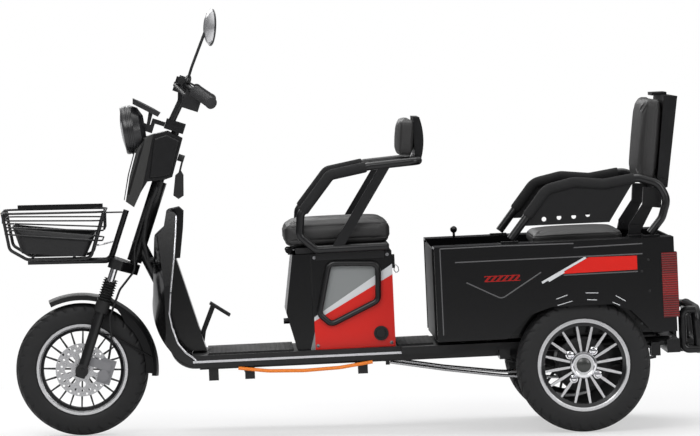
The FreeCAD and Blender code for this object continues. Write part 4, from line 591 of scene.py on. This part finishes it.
fold_hinge = np.array([-880, 0, 588])
rest_up, rest_out = on_frame((-0.125, 0, 0.992)), on_frame((0.992, 0, 0.125))
rest = pillow((128, 187, 29), 5, 0.15, 0.36, ((0.15, 1.5),))
rest_pad = surface("passenger_back_cover", vinyl,
                   turned_to(rest, on_frame(fold_hinge + (-63, 0, 271)), rest_up, frame_y, rest_out))
fit(puffed(rest_pad), "rear_backrest", "vinyl", "backrest_cushion")


# Foam sleeves and grips
# Closed-cell foam tube pushed over the arm tubes, cut square at its ends, and ribbed rubber grips.
def rounded_route(points, bend, spacing=4.0):
    """Points along straight runs joined by tangent arcs of one radius."""
    points = [np.array(point, float) for point in points]
    line = [points[0][None]]
    for before, corner, after in zip(points[:-2], points[1:-1], points[2:]):
        to_before = (before - corner) / np.linalg.norm(before - corner)
        to_after = (after - corner) / np.linalg.norm(after - corner)
        half = math.acos(float(np.clip(to_before @ to_after, -1, 1))) / 2
        inward = (to_before + to_after) / np.linalg.norm(to_before + to_after)
        centre = corner + inward * bend / math.sin(half)
        first = corner + to_before * bend / math.tan(half) - centre
        last = corner + to_after * bend / math.tan(half) - centre
        sweep = math.pi - 2 * half
        share = np.linspace(0, 1, 8)[:, None]
        arc = (np.sin((1 - share) * sweep) * first + np.sin(share * sweep) * last) / math.sin(sweep)
        line.append(centre + arc)
    line = np.concatenate(line + [points[-1][None]])
    lengths = np.concatenate([[0], np.cumsum(np.linalg.norm(np.diff(line, axis=0), axis=1))])
    places = np.linspace(0, lengths[-1], max(3, int(lengths[-1] / spacing)))
    return np.stack([np.interp(places, lengths, line[:, axis]) for axis in range(3)], -1)


def carried(path, radii, sides=24, hint=(0, 1, 0)):
    """Carry a circle along a path: point = path + radius * (cos t * side + sin t * raised)."""
    ahead = np.gradient(path, axis=0)
    ahead = ahead / np.linalg.norm(ahead, axis=1, keepdims=True)
    side = np.cross(ahead, np.array(hint, float))
    side = side / np.linalg.norm(side, axis=1, keepdims=True)
    raised = np.cross(ahead, side)
    t = np.append(np.linspace(0, 2 * np.pi, sides + 1)[:-1], 0.0)
    radii = np.broadcast_to(np.asarray(radii, float), len(path))[:, None, None]
    grid = path[:, None] + radii * (np.cos(t)[:, None] * side[:, None] + np.sin(t)[:, None] * raised[:, None])
    ends = np.repeat(path[[0, -1]][:, None], sides + 1, axis=1)
    return np.concatenate([ends[:1], grid, ends[1:]])


foam = Finish("foam_sleeve", (0.014, 0.014, 0.0145), 0.8, Specular_IOR_Level=0.2)
foam.vary(0.7, 0.9, foam.noise(60.0))
foam.bump(foam.noise(420.0, 4.0), 0.0009, 0.9)
sleeve_radius = 16.6
driver_run = [(132.4, 689.4), (45, 797), (-66.6, 816.5)]
rear_run = [(-546, 645.4), (-610, 726), (-695, 744), (-785, 734), (-878, 747.3)]
# name, route in frame axes, distance from the middle, bend radius, CAD node
sleeve_rows = (("driver_arm_sleeve", driver_run, 190, 24, "driver_arm_pads"),
               ("rear_arm_sleeve", rear_run, 300, 50, "rear_arm_pads"))
for name, run, out, bend, node in sleeve_rows:
    sleeves = []
    for sign in (-1, 1):
        path = rounded_route(on_frame([(x, sign * out, z) for x, z in run]), bend)
        grow = np.full(len(path), sleeve_radius)
        grow[[0, -1]], grow[[1, -2]] = sleeve_radius - 1.6, sleeve_radius - 0.2
        sleeves.append(carried(path, grow, 28))
    fit(surface(name, foam, *sleeves, sharp=60.0), "frame", "foam", node)

grip_rubber = Finish("grip_rubber", (0.024, 0.024, 0.025), 0.66, Specular_IOR_Level=0.3)
grip_rubber.vary(0.58, 0.75, grip_rubber.noise(50.0))
grip_rubber.bump(grip_rubber.noise(700.0), 0.0003, 0.6)
grip_radius, collar_radius = 16.6, 18.4
grips = []
for sign in (-1, 1):
    inner, outer = on_fork((-12, sign * 240, 567)), on_fork((-76, sign * 358, 547))
    along = (outer - inner) / np.linalg.norm(outer - inner)
    reach = np.linspace(0, 1, 97)
    ribs = grip_radius + 1.0 * np.abs(np.sin(reach * 14 * np.pi)) ** 0.6
    ribs = np.where((reach < 0.06) | (reach > 0.94), collar_radius, ribs)
    profile = np.stack([ribs, 117 * reach - 116], -1)
    profile = np.concatenate([[(11.4, -116)], profile, [(14, 3), (0, 4)]])
    grips.append(lathe(profile, outer, along, 32))
fit(surface("grip_sleeves", grip_rubber, *grips), "steering", "foam", "grips")


# Basket arm, stays and mudguard skirt
# The arm under the basket is one steel tube bent up into its post.  Two wire stays tie the basket to
# the post, and a black plastic skirt closes each side of the mudguard behind the fork.
elbow = rounded_route([(800, 0, 540.7), (744.6, 0, 540.7), (729, 0, 586)], 24)
stays = [rounded_route([(792, y, 587), (762, y, 592), (736, y * 0.5, 599)], 30) for y in (-14, 14)]
fit(surface("basket_arm_bend", frame_coat, carried(elbow, 9.3, 28)), "steering", "black_steel")
fit(surface("basket_stays", ground_steel, *[carried(stay, 2.2, 12) for stay in stays]), "steering",
    "bright_steel")
skirts = []
skirt_start, skirt_end, guard_radius = 28, 94, 221.0
sweep = np.radians(np.linspace(skirt_start, skirt_end, 90))
for sign in (-1, 1):
    depth = 24 * np.clip((np.degrees(sweep) - skirt_start) / 16, 0.05, 1)
    outer, inner_r = np.full(len(sweep), guard_radius), guard_radius - depth
    rows = []
    for radius, out in ((outer, 45.2), (outer, 47.6), (inner_r, 48.4), (inner_r, 45.8), (outer, 45.2)):
        rows.append(np.stack([front_axle[0] - radius * np.sin(sweep), np.full(len(sweep), sign * out),
                              front_axle[2] + radius * np.cos(sweep)], -1))
    skirt = np.stack(rows, 1)
    ends = np.repeat(skirt[[0, -1]].mean(1, keepdims=True), 5, axis=1)
    skirts.append(np.concatenate([ends[:1], skirt, ends[1:]]))
fit(surface("mudguard_skirts", satin_black, *skirts), "steering", "gloss_plastic")


# Leg shield
# Two gloss black mouldings clipped together behind the front wheel, with a bright plastic bead
# pressed over the seam from the top down to the deck.
shield_finish = Finish("shield_black", (0.003, 0.003, 0.0033), 0.16, Specular_IOR_Level=0.3, Coat_Weight=0.2)
shield_finish.vary(0.1, 0.2, shield_finish.noise(9.0))
shield_finish.bump(shield_finish.noise(120.0, 1.0), 0.0001, 0.3)
dress(shield_finish, "leg_shield")
trim_chrome = Finish("trim_chrome", (0.62, 0.62, 0.64), 0.16, 1.0)
trim_chrome.vary(0.1, 0.22, trim_chrome.noise(45.0))
trim_chrome.bump(trim_chrome.noise(300.0, 1.0), 0.00008, 0.3)
dress(trim_chrome, "deck_trim")
bead_radius = 3.2
# x and z in frame axes, and the distance from the middle
bead_line = [(521, 694, 154), (527, 626, 169), (533, 573, 181), (549, 460, 202), (555, 397, 202),
             (548, 352, 202), (533, 303, 202), (509, 272, 202), (490, 258, 203), (478, 247, 203)]
beads = []
for sign in (-1, 1):
    line = rounded_route([on_frame((x, sign * y, z)) for x, z, y in bead_line], 12)
    size = np.full(len(line), bead_radius)
    size[[0, -1]] = bead_radius / 2
    beads.append(carried(line, size, 12, (1, 0, 0)))
fit(surface("shield_trim_bead", trim_chrome, *beads, sharp=60.0), "frame", "trim_bright")


# Steering cover, headlight and display
# The cover is a grained black moulding in two tones, with a vent slot in each side painted near-black
# as painted shade.  The lamp is a round black shell with two ribs, a rim and a fluted domed lens with
# painted highlight bands along its flutes, and the display has a dark screen.
cover_finish = Finish("steering_cover", (0.006, 0.006, 0.0065), 0.4, Specular_IOR_Level=0.3)
cover_finish.vary(0.26, 0.4, cover_finish.noise(30.0))
cover_finish.bump(cover_finish.cells(1500.0), 0.0001, 0.3)


def fork_axes(finish):
    """The coordinates on a piece in fork axes, in millimetres."""
    x, y, z = finish.axes()
    x, z = x * 1000.0 - crown_x, z * 1000.0 - crown_z
    return (x * math.cos(rake) + z * math.sin(rake), y * 1000.0,
            z * math.cos(rake) - x * math.sin(rake))


cover_x, cover_z = fork_axes(cover_finish)[::2]
front_cover = cover_x > cover_z * 0.105 + 21.0
slot_line = cover_z * 0.03 + 70.5
slot = (cover_x > slot_line) * (cover_x < slot_line + 7.0) * cover_z.between(196.0, 372.0)
seam = 1 - abs(cover_x - (cover_z * 0.105 + 20.0)).ramp(0.8, 2.4)
cover_tone = front_cover.mix((0.006, 0.006, 0.0065, 1.0), (0.034, 0.034, 0.033, 1.0))
# The slot is painted near-black inside the lighter field: painted shade in the vent's recess, over a shallow
# bump.
cover_finish.set(**{"Base Color": slot.mix(cover_tone, (0.003, 0.003, 0.003, 1.0))})
cover_finish.bump(1 - slot.either(seam), 0.002, 0.8)
dress(cover_finish, "shroud")
shell_finish = Finish("lamp_shell", (0.014, 0.014, 0.015), 0.3, Specular_IOR_Level=0.5)
shell_finish.vary(0.22, 0.4, shell_finish.noise(24.0))
shell_finish.bump(shell_finish.noise(400.0, 1.0), 0.0001, 0.3)
dress(shell_finish, "headlight", "display")
tilt = math.radians(27.0)
lamp_out = on_fork((math.cos(tilt), 0, -math.sin(tilt))) - on_fork((0, 0, 0))
lamp_centre = on_fork((150, 0, 380))
bezel = lathe([(66, 0), (75, -8), (75.4, -2), (73.5, 3.5), (69, 5.5), (65, 4.5), (64, 1), (66, 0)],
              lamp_centre, lamp_out, 96)
fit(surface("headlight_bezel", shell_finish, bezel), "steering", "gloss_plastic")
dome = np.linspace(0, 1, 14)
lens_profile = np.stack([65.5 * dome, 4 + 8.5 * (1 - dome ** 2)], -1)
lens_profile = np.concatenate([lens_profile, [(65.5, 2.2), (0, 2.2)]])
lens_glass = Finish("lamp_lens", (0.55, 0.57, 0.6), 0.05, Coat_Weight=1.0, Coat_Roughness=0.02)
flutes_and_highlights = (lens_glass.axes()[1] * 520.0).wave()
# The lens colour is lighter on each flute's crest: painted highlight bands along the flutes, which also drive
# the bump.
lens_glass.set(**{"Base Color": flutes_and_highlights.mix((0.06, 0.062, 0.065, 1.0), (0.3, 0.31, 0.33, 1.0))})
lens_glass.bump(flutes_and_highlights, 0.0006, 0.6)
lens = lathe(lens_profile, lamp_centre, lamp_out, 96)
fit(surface("headlight_lens", lens_glass, lens), "steering", "gloss_plastic")
rib_rings = [lathe([(73.6, back), (76.2, back - 1.5), (76.2, back - 5), (73.6, back - 6.5)],
                   lamp_centre, lamp_out, 96) for back in (-9, -20)]
fit(surface("headlight_ribs", shell_finish, *rib_rings), "steering", "gloss_plastic")

screen_glass = Finish("screen_glass", (0.01, 0.014, 0.02), 0.06, Coat_Weight=1.0)
screen_glass.vary(0.04, 0.1, screen_glass.noise(20.0))
screen_glass.bump(screen_glass.noise(90.0, 1.0), 0.00005, 0.2)
screen_middle, screen_half_long, screen_half_wide, screen_swell = 109, 41, 46, 2.2
screen_x, screen_y = np.meshgrid(np.linspace(-1, 1, 24), np.linspace(-1, 1, 32), indexing="ij")
swell = screen_swell * (1 - screen_x ** 6) * (1 - screen_y ** 6)
screen_x, screen_y = screen_middle + screen_half_long * screen_x, screen_half_wide * screen_y
display_start, display_level, display_rise, display_run = 62, 466, 16, 95
face = display_level + (screen_x - display_start) * display_rise / display_run - 0.4
top = on_fork(np.stack([screen_x, screen_y, face + swell], -1))
under = on_fork(np.stack([screen_x, screen_y, face - 0.6], -1))
rims = [np.stack([top[0], under[0]]), np.stack([top[-1], under[-1]]),
        np.stack([top[:, 0], under[:, 0]]), np.stack([top[:, -1], under[:, -1]])]
fit(surface("display_screen", screen_glass, top, under, *rims), "steering", "gloss_plastic")


# Mirrors
# Round glass in a pressed metal bowl with a black hoop, on a steel stalk that screws into the
# bar's clamp.  Both are turned outwards, to look past the rider.
mirror_glass = Finish("mirror_glass", (0.75, 0.77, 0.8), 0.05, 1.0)
mirror_glass.vary(0.03, 0.07, mirror_glass.noise(10.0))
mirror_glass.bump(mirror_glass.noise(30.0, 1.0), 0.00002, 0.1)
mirror_plate = Finish("mirror_back", (0.62, 0.62, 0.63), 0.3, 0.7)
mirror_plate.vary(0.14, 0.28, mirror_plate.noise(20.0))
mirror_plate.bump(mirror_plate.noise(120.0, 1.0), 0.0001, 0.3)
bowl = [(0, 13), (14, 12.4), (32, 9.5), (46, 4), (53.5, -3), (55.5, -6), (0, -5.8)]
hoop = [(55.2, -4.5), (57, -6), (57, -9), (54.6, -10.4), (52.6, -9.4), (52.8, -6.5), (55.2, -4.5)]
glass = [(0, -7.6), (30, -7.8), (53, -8.3), (53, -7.2), (0, -6.4)]
backs, hoops, stalks, faces = [], [], [], []
fork_up = on_fork((0, 0, 1)) - on_fork((0, 0, 0))
mirror_x, mirror_y, mirror_z, mirror_turn, mirror_lean = 425.0, 300.0, 1256.0, math.radians(13.0), 0.07
for sign in (-1, 1):
    centre = np.array([mirror_x, sign * mirror_y, mirror_z])
    ahead = (math.cos(mirror_turn), sign * math.sin(mirror_turn), mirror_lean)
    backs.append(lathe(bowl, centre, ahead, 72))
    hoops.append(lathe(hoop, centre, ahead, 72))
    faces.append(lathe(glass, centre, ahead, 72))
    stalk = rounded_route(on_fork([(12, sign * 200, 582), (13, sign * 212, 630), (7, sign * 300, 744)]), 60)
    foot = [(0, 0), (9, 0), (9, 12), (7, 15), (4.5, 18), (0, 18)]
    stalks += [carried(stalk, 4.0, 16), lathe(foot, on_fork((12, sign * 200, 583.2)), fork_up, 24)]
fit(surface("mirror_backs", mirror_plate, *backs), "steering", "mirror_shell", "mirrors")
fit(surface("mirror_hoops", shell_finish, *hoops), "steering", "mirror_shell")
fit(surface("mirror_stalks", frame_coat, *stalks), "steering", "black_steel")
fit(surface("mirror_glasses", mirror_glass, *faces), "steering", "chrome")


# Seat box
# Pressed sheet in gloss black.  A vinyl decal covers each side: a red field, a silver band slanted
# over it and a grey field above, cut to the line of the side loop.
def below(x, z, first, second):
    """1 under the line through two points of the side view."""
    slope = (second[1] - first[1]) / (second[0] - first[0])
    return z < (x - first[0]) * slope + first[1]


def frame_axes(finish):
    """The coordinates on a piece in frame axes, in millimetres."""
    x, y, z = finish.axes()
    level, rise = 1000 * math.cos(nose_down), 1000 * math.sin(nose_down)
    return x * level - z * rise, y * 1000.0, x * rise + z * level


def screws(name, finish, body, slot, places, direction, radius):
    """Pan-head screws: a domed head on a washer, each turned from a short profile."""
    heads = []
    for place in places:
        head = [(0, -1), (radius * 1.5, -1), (radius * 1.5, 0.8), (radius, 1.0), (radius * 0.9, 2.4),
                (radius * 0.5, 3.6), (radius * 0.3, 3.7), (radius * 0.25, 2.6), (0, 2.6)]
        heads.append(lathe(head, place, direction, 18))
    return fit(surface(name, finish, *heads), body, slot)


box_finish = Finish("seat_box_paint", (0.003, 0.003, 0.0033), 0.16, Specular_IOR_Level=0.25, Coat_Weight=0.12)
box_x, box_y, box_z = frame_axes(box_finish)
decal_front, box_wall_y = 112.0, 168.0
outside = abs(box_y) > box_wall_y - 0.4
red_field = below(box_x, box_z, (111, 350), (-139, 486)) * (box_x < decal_front)
band = below(box_x, box_z, (110, 363), (-140, 519)) * (box_x < decal_front)
grey_field = (box_z < 515.0) * (box_x > -80.0) * below(box_x, box_z, (58, 515), (98, 368))
red_ink, silver_ink, grey_ink = (0.56, 0.013, 0.008, 1.0), (0.55, 0.56, 0.57, 1.0), (0.2, 0.21, 0.21, 1.0)
paint = (grey_field * outside).mix((0.003, 0.003, 0.0033, 1.0), grey_ink)
paint = (band * outside).mix(paint, silver_ink)
paint = (red_field * outside).mix(paint, red_ink)
box_finish.set(**{"Base Color": paint})
cover_seam = abs(box_x - 115.0).ramp(0.6, 2.2)
box_finish.vary(0.14, 0.26, box_finish.noise(14.0))
box_finish.bump(cover_seam, 0.0012, 0.8)
dress(box_finish, "seat_box")
screw_places = ((104, 545), (-120, 545), (104, 274), (-122, 274))
screws("seat_box_screws", cast_metal, "frame", "chrome",
       [on_frame((x, box_wall_y + 0.2, z)) for x, z in screw_places], (0, 1, 0), 3.5)
port = lathe([(0, 2.5), (20, 2.5), (22.5, 3.4), (22.5, 4.8), (20, 5.4), (16, 4.4), (14, 6.5), (0, 7.2)],
             on_frame((-91, box_wall_y, 304)), (0, 1, 0), 48)
fit(surface("charge_port_cover", gaiter_rubber, port), "frame", "black_plastic")
ring_line = ((-150, 505), (-158, 497), (-160, 484), (-151, 478), (-145, 488), (-149, 503))
ring = rounded_route([on_frame((x, 0, z)) for x, z in ring_line], 3, 1.5)
fit(surface("hasp_ring", chrome, carried(ring, 1.4, 10)), "frame", "chrome")


# Passenger box
# Folded sheet in gloss black.  Each side carries pressed ridges painted grey as painted highlights, a red
# decal with a silver slash at its front end, a hatched red bar, and short bright marks over the wheel arch.
side_finish = Finish("passenger_box_paint", (0.003, 0.003, 0.0033), 0.14, Specular_IOR_Level=0.25,
                     Coat_Weight=0.12)
side_x, side_y, side_z = frame_axes(side_finish)
side_wall_y = 365.0
outer_face = abs(side_y) > side_wall_y - 0.6


def stripe(x, z, first, second, half):
    """1 within half a width of the line from one point to another, in the side view."""
    run, rise = second[0] - first[0], second[1] - first[1]
    length = math.hypot(run, rise)
    off = ((x - first[0]) * (rise / length)) - ((z - first[1]) * (run / length))
    share = ((x - first[0]) * (run / length)) + ((z - first[1]) * (rise / length))
    return (abs(off) < half) * share.between(0.0, length)


red_decal = below(side_x, side_z, (-720.3, 517), (-873.3, 515)) * (side_x > -871.0)
red_decal = red_decal * (1 - below(side_x, side_z, (-646.8, 470), (-871.5, 473)))
red_decal = red_decal * below(side_x, side_z, (-632, 468), (-724, 517))
marks = stripe(side_x, side_z, (-579.6, 446), (-716, 517), 3.4)
marks = marks.either(stripe(side_x, side_z, (-600, 450), (-648, 476), 3.0))
arch_marks = (((-620.5, 394.2), (-655.2, 405.3)), ((-623.9, 374.8), (-669.3, 386.3)),
              ((-710.8, 409.1), (-749.2, 407.3)), ((-714.2, 388.5), (-744, 386.2)),
              ((-802.1, 396.3), (-831.3, 378.7)), ((-790.6, 377.6), (-813.7, 366.7)))
for first, second in arch_marks:
    marks = marks.either(stripe(side_x, side_z, first, second, 1.0))
bar_front, bar_back = (-405.3, 465), (-513.6, 465)
hatch = ((side_x + side_z) * 0.35).wave() > 0.5
bar_inside = stripe(side_x, side_z, bar_front, bar_back, 7.0)
bar_ink = stripe(side_x, side_z, bar_front, bar_back, 9.0) * (1 - bar_inside * (hatch * 0.75 + 0.25))
side_paint = (red_decal.either(bar_ink * 0.6) * outer_face).mix((0.003, 0.003, 0.0033, 1.0), red_ink)
side_paint = (marks * outer_face).mix(side_paint, silver_ink)
side_finish.set(**{"Base Color": side_paint})
side_finish.vary(0.12, 0.22, side_finish.noise(10.0))
dress(side_finish, "cargo_side_left", "cargo_side_right")
# The pressed ridges are painted grey, lighter than the black box: painted highlights along the ridges.
painted_ridge_highlight = Finish("painted_ridge_highlight", (0.07, 0.07, 0.072), 0.22, Coat_Weight=0.5)
painted_ridge_highlight.vary(0.16, 0.3, painted_ridge_highlight.noise(30.0))
painted_ridge_highlight.bump(painted_ridge_highlight.noise(200.0, 1.0), 0.0001, 0.3)
ridges = [[(-274, 563), (-453.7, 563.8), (-680, 561)], [(-680.3, 548.2), (-889, 551)],
          [(-318, 519.6), (-888.3, 520.2)], [(-350, 457), (-455.3, 403), (-578, 478)],
          [(-646, 466), (-872, 467)], [(-274, 563), (-274, 300)]]
bolt_places = ((-905.4, 501.5), (-884.4, 466.6), (-905.8, 406.5), (-950, 476.9), (-877.5, 307.4))
for sign, side in ((1, "left"), (-1, "right")):
    lines = []
    for ridge in ridges:
        route = rounded_route([on_frame((x, sign * (side_wall_y - 0.1), z)) for x, z in ridge], 20, 8.0)
        lines.append(carried(route, 2.0, 10))
    fit(surface(f"passenger_box_ridges_{side}", painted_ridge_highlight, *lines), "frame", "black_paint")
    screws(f"passenger_box_bolts_{side}", drum_iron, "frame", "black_steel",
           [on_frame((x, sign * (side_wall_y + 0.2), z)) for x, z in bolt_places], (0, sign, 0), 2.6)


# Tail lamps
# Red moulded lenses wrapped round the rear corners, ribbed inside, in three bands with the middle one
# lighter, and each rib's crest painted lighter as a painted highlight.
lens_red = Finish("tail_lens", (0.3, 0.004, 0.003), 0.14, Coat_Weight=0.3)
lamp_z = frame_axes(lens_red)[2]
ribs = (lamp_z * 0.9).wave()
# The rib crests are painted lighter than the troughs: painted highlights on the ribs.
dim_red = ribs.mix((0.04, 0.0008, 0.0008, 1.0), (0.16, 0.002, 0.002, 1.0))
bright_red = ribs.mix((0.07, 0.001, 0.001, 1.0), (0.24, 0.003, 0.002, 1.0))
lens_red.set(**{"Base Color": lamp_z.between(392.0, 456.0).mix(dim_red, bright_red)})
lens_red.bump(ribs, 0.0008, 0.7)
dress(lens_red, "tail_lamps")


# Deck, mats, battery and cables
# Ribbed rubber mats lie on the plastic deck.  The power cable runs in an orange ribbed sleeve
# under the deck, and the battery is a sealed case in the seat box.
mat_rubber = Finish("mat_rubber", (0.018, 0.018, 0.0185), 0.72, Specular_IOR_Level=0.3)
mat_x, mat_y = mat_rubber.axes()[:2]
mat_ribs = (mat_x * 420.0).wave() * (mat_y * 420.0).wave()
mat_rubber.vary(0.62, 0.8, mat_rubber.noise(20.0))
mat_rubber.bump(mat_ribs, 0.0015, 0.8)
dress(mat_rubber, "deck_mats")
sleeve_orange = Finish("orange_sleeve", (0.8, 0.2, 0.012), 0.45)
sleeve_orange.vary(0.38, 0.55, sleeve_orange.noise(60.0))
sleeve_orange.bump((sleeve_orange.axes()[0] * 1400.0).wave(), 0.0008, 0.8)
dress(sleeve_orange, "power_cable")
case_plastic = Finish("battery_case", (0.05, 0.052, 0.055), 0.5)
case_plastic.vary(0.42, 0.58, case_plastic.noise(30.0))
case_plastic.bump(case_plastic.noise(500.0), 0.0002, 0.4)
dress(case_plastic, "battery_pack")
